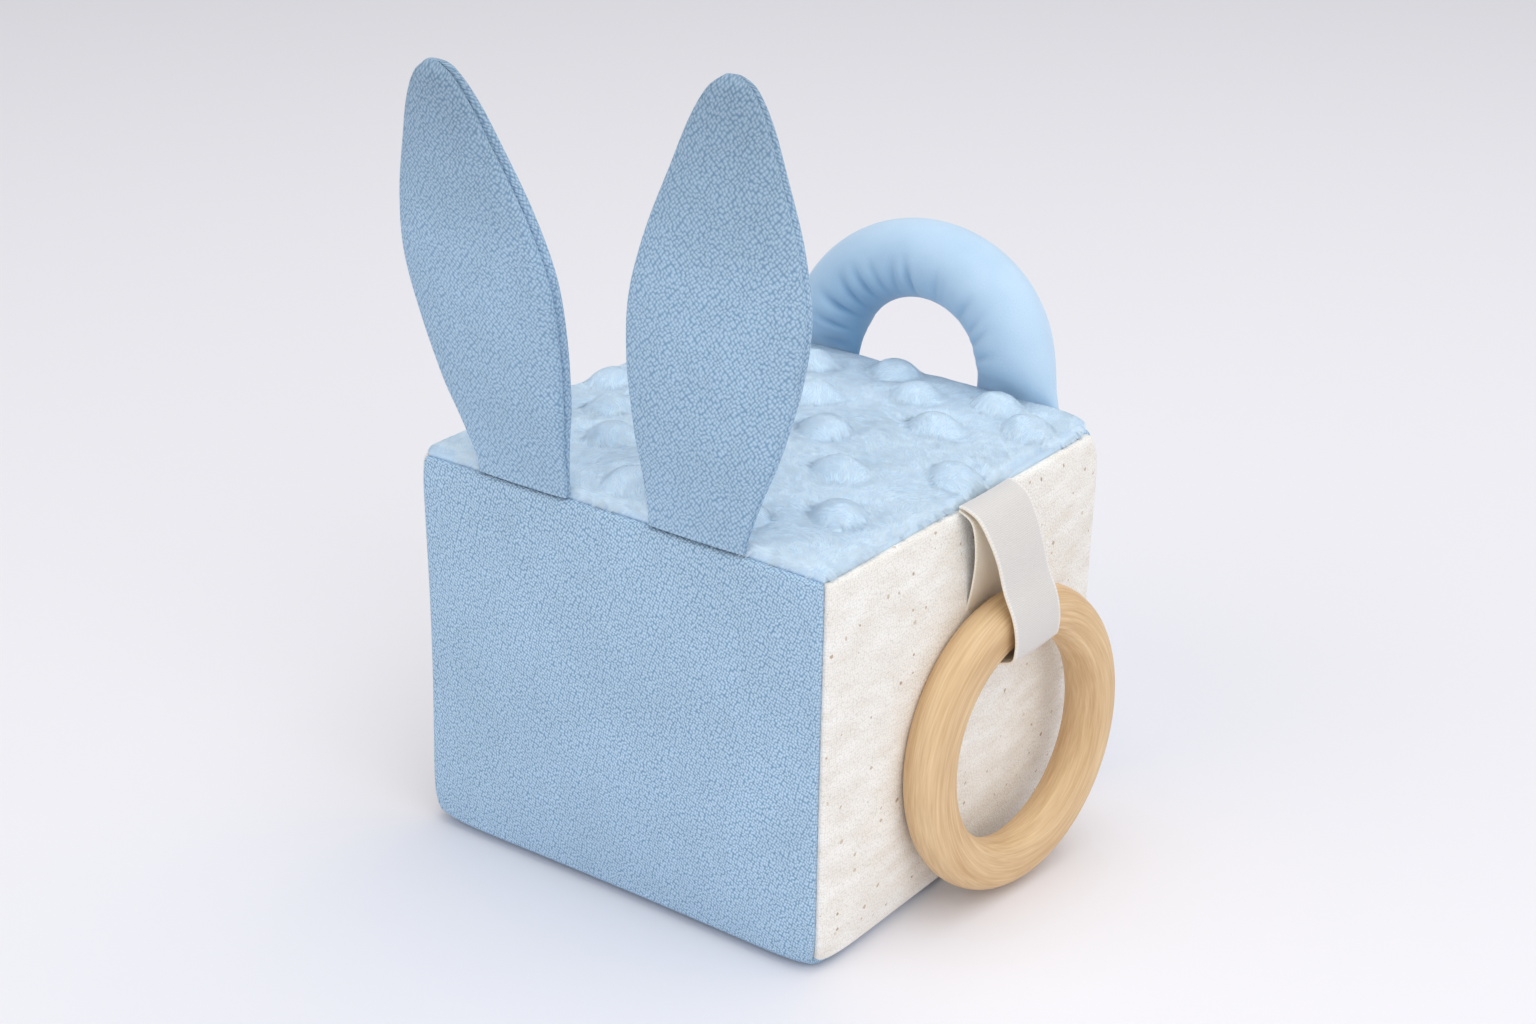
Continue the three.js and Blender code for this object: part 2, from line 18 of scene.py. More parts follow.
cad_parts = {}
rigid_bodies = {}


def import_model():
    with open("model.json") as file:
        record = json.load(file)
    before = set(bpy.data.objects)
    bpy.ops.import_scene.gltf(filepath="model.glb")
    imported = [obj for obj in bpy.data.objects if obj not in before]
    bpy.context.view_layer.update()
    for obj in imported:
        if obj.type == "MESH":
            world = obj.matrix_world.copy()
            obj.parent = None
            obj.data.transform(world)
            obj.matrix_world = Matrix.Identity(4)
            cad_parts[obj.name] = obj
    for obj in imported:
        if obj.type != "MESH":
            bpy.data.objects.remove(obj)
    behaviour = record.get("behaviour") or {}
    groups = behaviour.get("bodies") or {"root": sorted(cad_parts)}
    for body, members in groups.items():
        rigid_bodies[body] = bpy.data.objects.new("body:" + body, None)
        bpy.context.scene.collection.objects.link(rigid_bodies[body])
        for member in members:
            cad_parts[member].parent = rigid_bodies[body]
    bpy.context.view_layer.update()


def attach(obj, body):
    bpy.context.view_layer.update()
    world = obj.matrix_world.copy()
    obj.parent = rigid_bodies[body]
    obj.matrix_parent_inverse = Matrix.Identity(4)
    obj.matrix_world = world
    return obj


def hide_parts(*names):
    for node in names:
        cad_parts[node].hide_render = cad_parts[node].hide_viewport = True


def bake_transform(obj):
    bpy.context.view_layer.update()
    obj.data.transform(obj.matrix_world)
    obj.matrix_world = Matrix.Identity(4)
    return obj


for started_with in list(bpy.data.objects):
    bpy.data.objects.remove(started_with)
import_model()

# %% [markdown]
# The camera stands where the photographer stood: in front, to the right and above. Its place and
# turn were worked out from the block's own edges. Lengths in this lesson are in metres, and one
# millimetre gets a name, because the block is easier to read in millimetres.

# %% Camera
MM = 0.001
CAMERA_PLACE = Vector((313.23, -428.95, 300.73)) * MM
CAMERA_AROUND = math.radians(36.116)
CAMERA_ABOVE = math.radians(23.596)
CAMERA_ROLL = math.radians(1.0)
CAMERA_LENS_MM = 64.86
CAMERA_SENSOR_MM = 36

backwards = Vector((
    math.sin(CAMERA_AROUND) * math.cos(CAMERA_ABOVE),
    -math.cos(CAMERA_AROUND) * math.cos(CAMERA_ABOVE),
    math.sin(CAMERA_ABOVE),
))
level = Vector((0, 0, 1)).cross(backwards).normalized()
camera_turn = Matrix((level, backwards.cross(level), backwards)).transposed()
camera_turn = camera_turn @ Matrix.Rotation(CAMERA_ROLL, 3, "Z")
bpy.ops.object.camera_add(location=CAMERA_PLACE, rotation=camera_turn.to_euler())
camera = bpy.context.object
camera.data.lens = CAMERA_LENS_MM
camera.data.sensor_width = CAMERA_SENSOR_MM
bpy.context.scene.camera = camera
print("camera at", [round(x, 3) for x in camera.location])

# %% [markdown]
# The block stands on a plain pale floor. The floor is wide, so its far edge lies outside the
# picture. The lights are three large soft panels and a pale sky, as in a small studio. The camera and
# glossy surfaces see a plain backdrop in place of that sky. One helper makes a node and its links.

# %% Floor, sky and lights
FLOOR_WIDTH = 6.0
FLOOR_BELOW = 0.2 * MM
FLOOR_COLOUR = (0.88, 0.87, 0.91, 1)
SKY_COLOUR = (0.97, 0.98, 1.0, 1)
SKY_STRENGTH = 0.46
BACKDROP_COLOUR = (0.80, 0.79, 0.83, 1)
LIGHT_AIM = Vector((0, 0, 60 * MM))
LIGHTS = {
    "key_light": dict(place=(1.05, -0.4, 0.95), size=1.3, watts=8.0),
    "fill_light": dict(place=(-0.6, -1.15, 0.5), size=1.3, watts=5.2),
    "top_light": dict(place=(0.12, 0.2, 1.3), size=1.2, watts=7.0),
}


def put(tree, kind, inputs=None, **settings):
    """A node in a material, with its settings, and each input linked or given its value."""
    made = tree.nodes.new(kind)
    for name, value in settings.items():
        setattr(made, name, value)
    for name, value in (inputs or {}).items():
        if isinstance(value, bpy.types.NodeSocket):
            tree.links.new(value, made.inputs[name])
        else:
            made.inputs[name].default_value = value
    return made


def new_finish(name, **sockets):
    """A material with its main shader; words joined by _ name the shader's sockets."""
    finish = bpy.data.materials.new(name)
    finish.use_nodes = True
    shader = finish.node_tree.nodes["Principled BSDF"]
    for socket, value in sockets.items():
        shader.inputs[socket.replace("_", " ")].default_value = value
    return finish, finish.node_tree, shader


def add_light(name, place, size, watts):
    bpy.ops.object.light_add(type="AREA", location=place)
    light = bpy.context.object
    light.name = name
    light.data.size = size
    light.data.energy = watts
    away = Vector(place) - LIGHT_AIM
    light.rotation_euler = away.to_track_quat("Z", "Y").to_euler()


bpy.ops.mesh.primitive_plane_add(size=FLOOR_WIDTH, location=(0, 0, -FLOOR_BELOW))
floor = bpy.context.object
floor.name = "floor"
floor_finish = new_finish(
    "studio_floor", Base_Color=FLOOR_COLOUR, Roughness=0.9, Specular_IOR_Level=0.1)[0]
floor.data.materials.append(floor_finish)

world = bpy.data.worlds.new("studio_sky")
world.use_nodes = True
bpy.context.scene.world = world
sky_tree = world.node_tree
sky = sky_tree.nodes["Background"]
sky.inputs["Color"].default_value = SKY_COLOUR
sky.inputs["Strength"].default_value = SKY_STRENGTH
backdrop = put(sky_tree, "ShaderNodeBackground", {"Color": BACKDROP_COLOUR, "Strength": 1.0})
rays = put(sky_tree, "ShaderNodeLightPath")
seen = rays.outputs["Is Camera Ray"]
for kind in ("Is Glossy Ray", "Is Transmission Ray"):
    either = put(sky_tree, "ShaderNodeMath", {0: seen, 1: rays.outputs[kind]}, operation="MAXIMUM")
    seen = either.outputs[0]
both = put(sky_tree, "ShaderNodeMixShader", {0: seen, 1: sky.outputs[0], 2: backdrop.outputs[0]})
sky_tree.links.new(both.outputs[0], sky_tree.nodes["World Output"].inputs["Surface"])

for name, light in LIGHTS.items():
    add_light(name, **light)
bpy.context.scene.view_settings.view_transform = "Standard"
print("floor, sky and", len(LIGHTS), "lights")

# %% [markdown]
# Blender's operators act on everything that is selected, so each piece starts from a clean slate.
# These few helpers select one piece, open and close it for editing, and read or write the places of
# all corners at once, which is much faster than moving them one by one. A note is one number, or
# three, that a mesh keeps for each of its corners.

# %% Helpers for modelling
TINY = 1e-9


def deselect():
    if bpy.context.object and bpy.context.object.mode != "OBJECT":
        bpy.ops.object.mode_set(mode="OBJECT")
    bpy.ops.object.select_all(action="DESELECT")


def pick(thing):
    deselect()
    thing.select_set(True)
    bpy.context.view_layer.objects.active = thing


def start_edit(thing):
    """Opens a piece for editing, with all of it selected."""
    pick(thing)
    bpy.ops.object.mode_set(mode="EDIT")
    bpy.ops.mesh.select_all(action="SELECT")


def end_edit():
    bpy.ops.object.mode_set(mode="OBJECT")


def corners(thing):
    """The places of all the corners of a mesh."""
    found = np.empty(len(thing.data.vertices) * 3)
    thing.data.vertices.foreach_get("co", found)
    return found.reshape(-1, 3)


def move_corners(thing, places):
    thing.data.vertices.foreach_set("co", np.asarray(places, float).ravel())
    thing.data.update()


def write_note(thing, name, values):
    kind, field = ("FLOAT_VECTOR", "vector") if np.ndim(values) == 2 else ("FLOAT", "value")
    thing.data.attributes.new(name, kind, "POINT").data.foreach_set(field, np.ravel(values))


def read_note(thing, name):
    """A note of three numbers for each corner."""
    found = np.empty(len(thing.data.vertices) * 3)
    thing.data.attributes[name].data.foreach_get("vector", found)
    return found.reshape(-1, 3)


def finish_modifier(thing, kind, **settings):
    """Adds a modifier, sets it and applies it."""
    pick(thing)
    modifier = thing.modifiers.new(kind.title(), kind)
    for name, value in settings.items():
        setattr(modifier, name, value)
    bpy.ops.object.modifier_apply(modifier=modifier.name)


def cloth_uv(thing, across, along):
    """Lays the cloth flat: the UV map holds each corner's place on the cloth, in metres."""
    for old in [layer for layer in thing.data.uv_layers if layer.name != "cloth"]:
        thing.data.uv_layers.remove(old)
    uv = thing.data.uv_layers.get("cloth") or thing.data.uv_layers.new(name="cloth")
    loops = np.empty(len(thing.data.loops), int)
    thing.data.loops.foreach_get("vertex_index", loops)
    flat = np.stack([across[loops], along[loops]], axis=1)
    uv.data.foreach_set("uv", flat.ravel())


def smooth(thing, degrees=60):
    pick(thing)
    bpy.ops.object.shade_smooth_by_angle(angle=math.radians(degrees))


def grid_piece(name, columns, rows):
    """A new flat grid, the column and row of each corner, and its places from -1 to 1."""
    deselect()
    bpy.ops.mesh.primitive_grid_add(x_subdivisions=columns, y_subdivisions=rows, size=2)
    made = bpy.context.object
    made.name = name
    grid = corners(made)
    column = np.rint((grid[:, 0] + 1) / 2 * columns).astype(int)
    row = np.rint((grid[:, 1] + 1) / 2 * rows).astype(int)
    return made, column, row, grid


def wave(places, *waves):
    """A slow random-looking swing: the sum of a few waves of (x, y, z, start, size)."""
    return sum(size * np.sin(places @ np.array([x, y, z]) + start) for x, y, z, start, size in waves)


print("helpers ready")

# %% [markdown]
# ## The block's cover
# Six cloths are sewn together along twelve seams and pulled over a foam block. It could be six
# boxes, but cloth over foam swells in the middle of each face and is held in at its seams. So the
# cover starts as one cube, cut into small squares that get narrower towards the seams, and its
# corners are moved to the shape of the stuffed block.

# %% The block's shape
BLOCK_WIDTH = 101.2 * MM
BLOCK_HEIGHT = 86.0 * MM
BLOCK_HALF = np.array([BLOCK_WIDTH, BLOCK_WIDTH, BLOCK_HEIGHT]) / 2
SIDE_CROWN = 1.3 * MM
TOP_CROWN = 2.2 * MM
FRONT_SEAM_BOW = 0.3 * MM
SIDE_SEAM_SAG = 0.7 * MM
EDGE_DRAW = 0.7 * MM
TOP_CORNER_DRAW = 1.0 * MM
BACK_CORNER_DRAW = 3.4 * MM
BOTTOM_CORNER_DRAW = 2.5 * MM
FULLER = {"right": 0.5 * MM, "left": 1.3 * MM, "front": 0.4 * MM}
BASE_SEAM_RISE = 0.6 * MM
CORNER_POWER = 12
BASE_POWER = 8
SQUARES = 32


def block_surface(cube):
    """Where places on a cube from -1 to 1 lie on the stuffed block."""
    x, y, z = cube.T

    def swell(p, q):
        return (1 - p ** 4) * (1 - q ** 4)

    def at_seam(p, q):
        return (1 - p * p) * q ** 4

    def out(p, q):
        return SIDE_CROWN * swell(p, q) - EDGE_DRAW * (at_seam(p, q) + at_seam(q, p))

    lift = TOP_CROWN * swell(x, y) + FRONT_SEAM_BOW * at_seam(x, y) - SIDE_SEAM_SAG * at_seam(y, x)
    top_draw = np.where((x > 0) & (y > 0), BACK_CORNER_DRAW, TOP_CORNER_DRAW)
    corner = np.where(z > 0, top_draw, BOTTOM_CORNER_DRAW) * np.abs(x * y * z) ** CORNER_POWER
    near_seam = np.maximum(np.abs(x), np.abs(y)) ** CORNER_POWER
    base_seam = BASE_SEAM_RISE * near_seam * np.clip(-z, 0, 1) ** BASE_POWER
    half_x = BLOCK_WIDTH / 2 + np.where(x > 0, FULLER["right"], FULLER["left"])
    half_y = BLOCK_WIDTH / 2 + np.where(y < 0, FULLER["front"], 0)
    height = BLOCK_HEIGHT / 2 + z * (BLOCK_HEIGHT / 2 - 0.5 * corner)
    return np.stack([
        x * (half_x + out(y, z) - corner),
        y * (half_y + out(x, z) - corner),
        height + np.maximum(z, 0) ** 3 * lift + base_seam,
    ], axis=1)


deselect()
bpy.ops.mesh.primitive_cube_add(size=2)
cover = bpy.context.object
cover.name = "cover"
start_edit(cover)
bpy.ops.mesh.subdivide(number_cuts=SQUARES - 1)
end_edit()
cube_places = 0.5 * corners(cover) + 0.5 * np.sin(math.pi / 2 * corners(cover))
write_note(cover, "cube_place", cube_places)
move_corners(cover, block_surface(cube_places))
print("cover:", len(cover.data.polygons), "squares, size",
      [round(x / MM, 1) for x in cover.dimensions])

# %% [markdown]
# Each side of the cube gets its own material slot now, while the sides are easy to tell apart.
# Later the cover comes apart along its seams by these slots.

# %% Mark the six cloths
PANELS = {
    "right_cloth": (0, 1), "left_cloth": (0, -1),
    "back_cloth": (1, 1), "front_cloth": (1, -1),
    "top_cloth": (2, 1), "base_cloth": (2, -1),
}
for name in PANELS:
    cover.data.materials.append(bpy.data.materials.new(name + "_mark"))
for face in cover.data.polygons:
    middle = cube_places[list(face.vertices)].mean(axis=0)
    axis = int(np.abs(middle).argmax())
    side = 1 if middle[axis] > 0 else -1
    face.material_index = list(PANELS.values()).index((axis, side))
print("marked", len(PANELS), "cloths")

# %% [markdown]
# Stuffing pushes the cloth out, and the cotton at the sides was cut a little generously, so it lies
# in faint folds. A cloth simulation finds those folds: the seams are held, air presses from inside,
# and the cloth at the sides may grow by a few percent. How far a corner may move is capped, so that
# the block keeps its size, and the floor stops what would sink into it.

# %% Let the stuffing press the cloth
HELD_SHARE = 0.999
MOST_MOVE = 1.0 * MM
CLOTH_FRAMES = 20
CLOTH_SETTINGS = dict(
    quality=6, mass=0.2, tension_stiffness=12, compression_stiffness=12, bending_stiffness=0.4,
    use_pressure=True, uniform_pressure_force=4.0, vertex_group_mass="held",
    vertex_group_shrink="slack", shrink_min=0, shrink_max=-0.035)


def press_out(thing, held, slack):
    """Cloth simulation with air inside; some corners are held, and some have slack."""
    start = corners(thing)
    for name, chosen in (("held", held), ("slack", slack)):
        thing.vertex_groups.new(name=name).add(np.nonzero(chosen)[0].tolist(), 1.0, "REPLACE")
    pick(thing)
    cloth = thing.modifiers.new("Cloth", "CLOTH")
    for name, value in CLOTH_SETTINGS.items():
        setattr(cloth.settings, name, value)
    cloth.settings.effector_weights.gravity = 0
    cloth.collision_settings.use_self_collision = False
    cloth.point_cache.frame_start = 1
    cloth.point_cache.frame_end = CLOTH_FRAMES
    for number in range(1, CLOTH_FRAMES + 1):
        bpy.context.scene.frame_set(number)
    bpy.ops.object.modifier_apply(modifier=cloth.name)
    bpy.context.scene.frame_set(1)
    moved = corners(thing) - start
    length = np.linalg.norm(moved, axis=1, keepdims=True)
    cap = MOST_MOVE * np.tanh(length / MOST_MOVE) / np.maximum(length, TINY)
    capped = start + moved * cap
    capped[:, 2] = np.maximum(capped[:, 2], 0)
    move_corners(thing, capped)
    thing.vertex_groups.clear()
    return float(length.max())


on_seam = (np.abs(cube_places) > HELD_SHARE).sum(axis=1) >= 2
at_side = (np.abs(cube_places[:, 0]) > HELD_SHARE) & ~on_seam
furthest = press_out(cover, on_seam, at_side)
print("the cloth moved up to", round(furthest / MM, 2), "mm before the cap")

# %% [markdown]
# Smaller squares make the cloth round. Then the cover is taken apart along its seams, as a sewer
# would unpick it, so that each cloth can be a piece of its own.

# %% Take the cover apart at its seams
finish_modifier(cover, "SUBSURF", levels=2, render_levels=2)
start_edit(cover)
bpy.ops.mesh.separate(type="MATERIAL")
end_edit()
cloths = {}
for part in list(bpy.context.selected_objects):
    mark = part.data.materials[0].name.replace("_mark", "")
    part.name = mark
    part.data.name = mark
    part.data.materials.clear()
    cloths[mark] = part
print({name: len(part.data.polygons) for name, part in cloths.items()})

# %% [markdown]
# At a seam, each cloth rolls over its edge and turns inwards, and the two rolls leave a small
# valley between them. Each corner near a seam is carried round almost a quarter of a small circle,
# and last the edge is drawn on inwards as the seam allowance.

# %% Roll every cloth into its seams
SEAM_ROLL = 1.1 * MM
SEAM_ALLOWANCE = 3.5 * MM
SEAM_TURN = math.radians(88)
ROLLED_CLOTH = SEAM_ROLL * (math.sin(SEAM_TURN) + 1 - math.cos(SEAM_TURN))


def roll_into_seams(thing, axis, side):
    """Carries the rim of one cloth round into the seam."""
    cube = read_note(thing, "cube_place")
    places = corners(thing)
    depth = np.zeros(len(places))
    for other in {0, 1, 2} - {axis}:
        from_seam = (1 - np.abs(cube[:, other])) * BLOCK_HALF[other]
        turn = SEAM_TURN * np.clip(1 - from_seam / ROLLED_CLOTH, 0, 1)
        shift = np.where(turn > 0, ROLLED_CLOTH - SEAM_ROLL * np.sin(turn) - from_seam, 0)
        places[:, other] -= np.sign(cube[:, other]) * shift
        depth = (depth ** 3 + (SEAM_ROLL * (1 - np.cos(turn))) ** 3) ** (1 / 3)
    places[:, axis] -= side * depth
    move_corners(thing, places)


def place_on_cloth(thing, axis):
    """Each corner's place on the cloth when it lies flat, with the allowance outside the seam."""
    flat = read_note(thing, "cube_place") * BLOCK_HALF
    allowance = np.array([corner.select for corner in thing.data.vertices])
    flat[allowance] *= 1 + SEAM_ALLOWANCE / (BLOCK_WIDTH / 2)
    return [flat[:, k] for k in range(3) if k != axis]


for name, (axis, side) in PANELS.items():
    part = cloths[name]
    roll_into_seams(part, axis, side)
    start_edit(part)
    bpy.ops.mesh.select_all(action="DESELECT")
    bpy.ops.mesh.select_mode(type="EDGE")
    bpy.ops.mesh.select_non_manifold()
    bpy.ops.mesh.extrude_edges_move()
    shrink = [1 - SEAM_ALLOWANCE / (BLOCK_WIDTH / 2)] * 3
    bpy.ops.transform.resize(value=shrink, center_override=(0, 0, BLOCK_HEIGHT / 2))
    end_edit()
    cloth_uv(part, *place_on_cloth(part, axis))
    smooth(part)
print("rolled", len(cloths), "cloths into their seams")

# %% [markdown]
# ## The dotted plush
# The top is a plush with raised dots in a staggered pattern. Each dot is a soft dome with a shallow
# ditch round it. The top is cut finer first, and then lifted dome by dome. The plush is thick, so it
# stands a little higher than the seams round it.

# %% Raise the dots
DOT_RADIUS = 6.0 * MM
DOT_HEIGHT = 2.7 * MM
DOME_POWER = 2.2
DOME_EASE = 1.2
DITCH_DEPTH = 0.45 * MM
DITCH_PLACE_SHARE = 1.05
DITCH_WIDTH_SHARE = 0.3
PLAIN_RIM = 0.5 * MM
RIM_EASE = 3 * MM
RIM_SWELL = 1.0 * MM
RIM_ROUND = 1.6 * MM
TOP_WAVES = [
    (210, 90, 0, 0.4, 0.12 * MM), (-130, 240, 0, 2.2, 0.12 * MM), (420, -310, 0, 1.0, 0.06 * MM),
]
DOT_SHARES = [
    (-0.62, -0.255), (-0.41, -0.51), (-0.85, 0.03), (-0.07, -0.81), (-0.03, 0.355), (0.24, 0.065),
    (0.52, -0.23), (0.75, -0.555), (0.045, 0.86), (0.3, 0.64), (0.555, 0.39), (0.87, 0.06),
    (0.61, 0.78), (-0.27, 0.69), (0.83, 0.66), (-0.83, 0.62), (-0.57, 0.34), (-0.3, 0.05),
    (-0.05, -0.24), (0.2, -0.53), (-0.66, -0.81), (0.46, -0.8),
]
top = cloths["top_cloth"]
start_edit(top)
bpy.ops.mesh.subdivide(number_cuts=1)
end_edit()
places = corners(top)
lifted = np.zeros(len(places))
for x_share, y_share in DOT_SHARES:
    away = np.hypot(places[:, 0] - x_share * BLOCK_WIDTH / 2, places[:, 1] - y_share * BLOCK_WIDTH / 2)
    r = away / DOT_RADIUS
    dome = np.clip(1 - r ** DOME_POWER, 0, 1) ** DOME_EASE
    ditch = np.exp(-((r - DITCH_PLACE_SHARE) / DITCH_WIDTH_SHARE) ** 2)
    lifted += DOT_HEIGHT * dome - DITCH_DEPTH * ditch
cube = read_note(top, "cube_place")
from_seam = (1 - np.abs(cube[:, :2]).max(axis=1)) * BLOCK_WIDTH / 2
edge_share = np.clip((from_seam - PLAIN_RIM) / RIM_EASE, 0, 1)
places[:, 2] += lifted * edge_share + RIM_SWELL * (1 - np.exp(-(from_seam / RIM_ROUND) ** 2))
places[:, 2] += edge_share * wave(places, *TOP_WAVES)
move_corners(top, places)
smooth(top)
print("raised", len(DOT_SHARES), "dots")

# %% [markdown]
# The plush has a short pile, brushed nearly flat, and at the seams it hangs over the edge. Blender's
# hair would not be exported, so the pile is a mesh of thousands of narrow blades, each rooted in the
# cloth. Blades near each other share a lock and lean the same way, and they take their shading from
# the cloth under them, so that the pile looks soft and not like straw.

# %% Comb the pile
PILE_BLADES = 130000
RIM_BLADES = 26000
PILE_LENGTH = 1.4 * MM
RIM_LENGTH = 2.3 * MM
LENGTH_SHARES = (0.65, 1.15)
BLADE_WIDTH = 0.17 * MM
LOCKS = 5000
RIM_START, RIM_SPREAD, RIM_REACH = 0.1 * MM, 0.8 * MM, 4 * MM
ROOT_RISE = 0.06 * MM
TIP_RISES = (0.06 * MM, 0.2 * MM)
HANG_SHARE = 0.6
COMB_ANGLE = 2.4
COMB_WAVES = [(95, 40, 0, 0.3, 0.7), (-60, 130, 0, 1.9, 0.6), (210, -170, 0, 0.7, 0.5)]
OUTWARD_PULL, OUTWARD_REACH = 1.8, 2.0 * MM
LOCK_SWING, BLADE_SWING = 0.4, 0.22
LOCK_TONES, BLADE_TONES = (0.91, 1.05), (0.98, 1.04)
LEANING_LIGHT_SHARE = 0.15
STEEPEST_CLOTH = 0.3
ABOVE_THE_BLOCK = 200 * MM
DOWN = Vector((0, 0, -1))


def comb_direction(x, y):
    """Where the pile leans: a slow swirl, and outwards near the seams."""
    angle = COMB_ANGLE + wave(np.stack([x, y, np.zeros_like(x)], axis=1), *COMB_WAVES)
    lean = np.stack([np.cos(angle), np.sin(angle)], axis=1)
    for k, value in enumerate((x, y)):
        near = np.exp(-(BLOCK_WIDTH / 2 - np.abs(value)) / OUTWARD_REACH)
        lean[:, k] += OUTWARD_PULL * np.sign(value) * near
    return unit(lean)


def unit(vectors):
    return vectors / np.maximum(np.linalg.norm(vectors, axis=1, keepdims=True), TINY)


def cloth_under(x, y):
    """Place and direction of the cloth straight under a spot, or None beside it."""
    place, normal, _, _ = surface.ray_cast(Vector((x, y, ABOVE_THE_BLOCK)), DOWN)
    return (place, normal) if place is not None and normal.z > STEEPEST_CLOTH else None


def tip_place(hit, root, tip, far, rise):
    """A tip lies just over the cloth, or hangs down past the edge."""
    if hit:
        return np.array(hit[0]) + np.array(hit[1]) * rise
    return (1 - HANG_SHARE) * root + HANG_SHARE * tip - np.array([0, 0, HANG_SHARE * far])


rng = np.random.default_rng(11)
top_places = corners(top)[:, :2]
low_edge, high_edge = top_places.min(axis=0), top_places.max(axis=0)
spots = rng.uniform(low_edge, high_edge, (PILE_BLADES + RIM_BLADES, 2))
sides = rng.integers(0, 4, RIM_BLADES)
inset = np.minimum(RIM_START + np.abs(rng.normal(0, RIM_SPREAD, RIM_BLADES)), RIM_REACH)
spots[PILE_BLADES + np.arange(RIM_BLADES), sides % 2] = np.where(
    sides < 2, high_edge[sides % 2] - inset, low_edge[sides % 2] + inset)
surface = BVHTree.FromObject(top, bpy.context.evaluated_depsgraph_get())
under = [cloth_under(x, y) for x, y in spots]
at_rim = (np.arange(len(spots)) >= PILE_BLADES)[[hit is not None for hit in under]]
roots = np.array([hit[0] for hit in under if hit])
normals = np.array([hit[1] for hit in under if hit])
count = len(roots)

lock_spots = rng.uniform(low_edge, high_edge, (LOCKS, 2))
lock_tree = KDTree(LOCKS)
for k, (x, y) in enumerate(lock_spots):
    lock_tree.insert((x, y, 0), k)
lock_tree.balance()
lock = np.array([lock_tree.find((x, y, 0))[1] for x, y in roots[:, :2]])
lean = comb_direction(*lock_spots[lock].T)
swing = rng.normal(0, LOCK_SWING, LOCKS)[lock] + rng.normal(0, BLADE_SWING, count)
cos, sin = np.cos(swing), np.sin(swing)
x_lean, y_lean = lean.T
lean = np.stack([x_lean * cos - y_lean * sin, x_lean * sin + y_lean * cos, 0 * cos], axis=1)
length = np.where(at_rim, RIM_LENGTH, PILE_LENGTH) * rng.uniform(*LENGTH_SHARES, count)
flat_tips = roots + lean * length[:, None]
under_tips = [cloth_under(x, y) for x, y, _ in flat_tips]
rises = rng.uniform(*TIP_RISES, count)
tips = np.array([tip_place(*blade) for blade in zip(under_tips, roots, flat_tips, length, rises)])
aside = unit(np.cross(normals, tips - roots)) * BLADE_WIDTH / 2
low_roots = roots + normals * ROOT_RISE
blades = np.stack([low_roots + aside, low_roots - aside, tips], axis=1).reshape(-1, 3)

pile_mesh = bpy.data.meshes.new("plush_pile")
pile_mesh.from_pydata(blades.tolist(), [], np.arange(3 * count).reshape(-1, 3).tolist())
pile = bpy.data.objects.new("plush_pile", pile_mesh)
bpy.context.scene.collection.objects.link(pile)
blade_tone = rng.uniform(*LOCK_TONES, LOCKS)[lock] * rng.uniform(*BLADE_TONES, count)
write_note(pile, "tip_share", np.tile([0.0, 0.0, 1.0], count))
write_note(pile, "blade_tone", np.repeat(blade_tone, 3))
cloth_uv(pile, np.repeat(roots[:, 0], 3), np.repeat(roots[:, 1], 3))
pick(pile)
bpy.ops.object.shade_smooth()
shading = np.repeat(unit(normals + LEANING_LIGHT_SHARE * lean), 3, axis=0)
pile_mesh.normals_split_custom_set_from_vertices(shading.tolist())
print("pile:", count, "blades")

# %% [markdown]
# ## The foam inside
# Foam keeps the block's flat faces. It isn't seen, but it is there: a plain block with rounded
# edges, a little smaller than its cover.

# %% Foam block
FOAM_INSET = 2.6 * MM
FOAM_ROUND = 5 * MM
deselect()
bpy.ops.mesh.primitive_cube_add(size=1, location=(0, 0, BLOCK_HEIGHT / 2))
foam = bpy.context.object
foam.name = "foam_block"
start_edit(foam)
bpy.ops.transform.resize(value=tuple(2 * (BLOCK_HALF - FOAM_INSET)))
bpy.ops.mesh.bevel(offset=FOAM_ROUND, segments=4, affect="EDGES")
end_edit()
bpy.ops.object.transform_apply(location=True, rotation=True, scale=True)
cloth_uv(foam, corners(foam)[:, 0], corners(foam)[:, 2])
smooth(foam)
print("foam:", [round(x / MM, 1) for x in foam.dimensions])

# %% [markdown]
# ## The ears
# Each ear is two skins of the same knit, sewn edge to edge and turned right side out, with a stiff
# sheet and wadding inside. Both follow one outline, but they lean and curl in their own ways. A
# flat grid is laid along the ear's middle line, widened to the outline and swelled in the middle.

# %% The ears' outline and stance
EAR_LENGTH = 89.7 * MM
EAR_HALF_WIDTH = 18.4 * MM
EAR_HALF_THICKNESS = 3.5 * MM
EAR_ROOT_HALF = 1.35 * MM
SWELLING_SHARE = 0.22
THINNING_SHARE = 0.25
TWIST_SHARE = 0.35
CLIMB_STEPS = 15
EAR_OUTLINE_SHARES = [
    (0.625, 0), (0.72, 0.1), (0.84, 0.2), (0.965, 0.35), (1, 0.5),
    (0.855, 0.65), (0.605, 0.8), (0.43, 0.9), (0.25, 0.97), (0.07, 1),
]
EARS = {
    "left_ear": dict(root=(-23.4, -49.75, 87.63), lean=(-16.6, -5), curl=(13.8, -14.2), twist=-0.01),
    "right_ear": dict(root=(20, -49.71, 87.64), lean=(8.9, 3.5), curl=(-1.35, -3.8), twist=0.15),
}


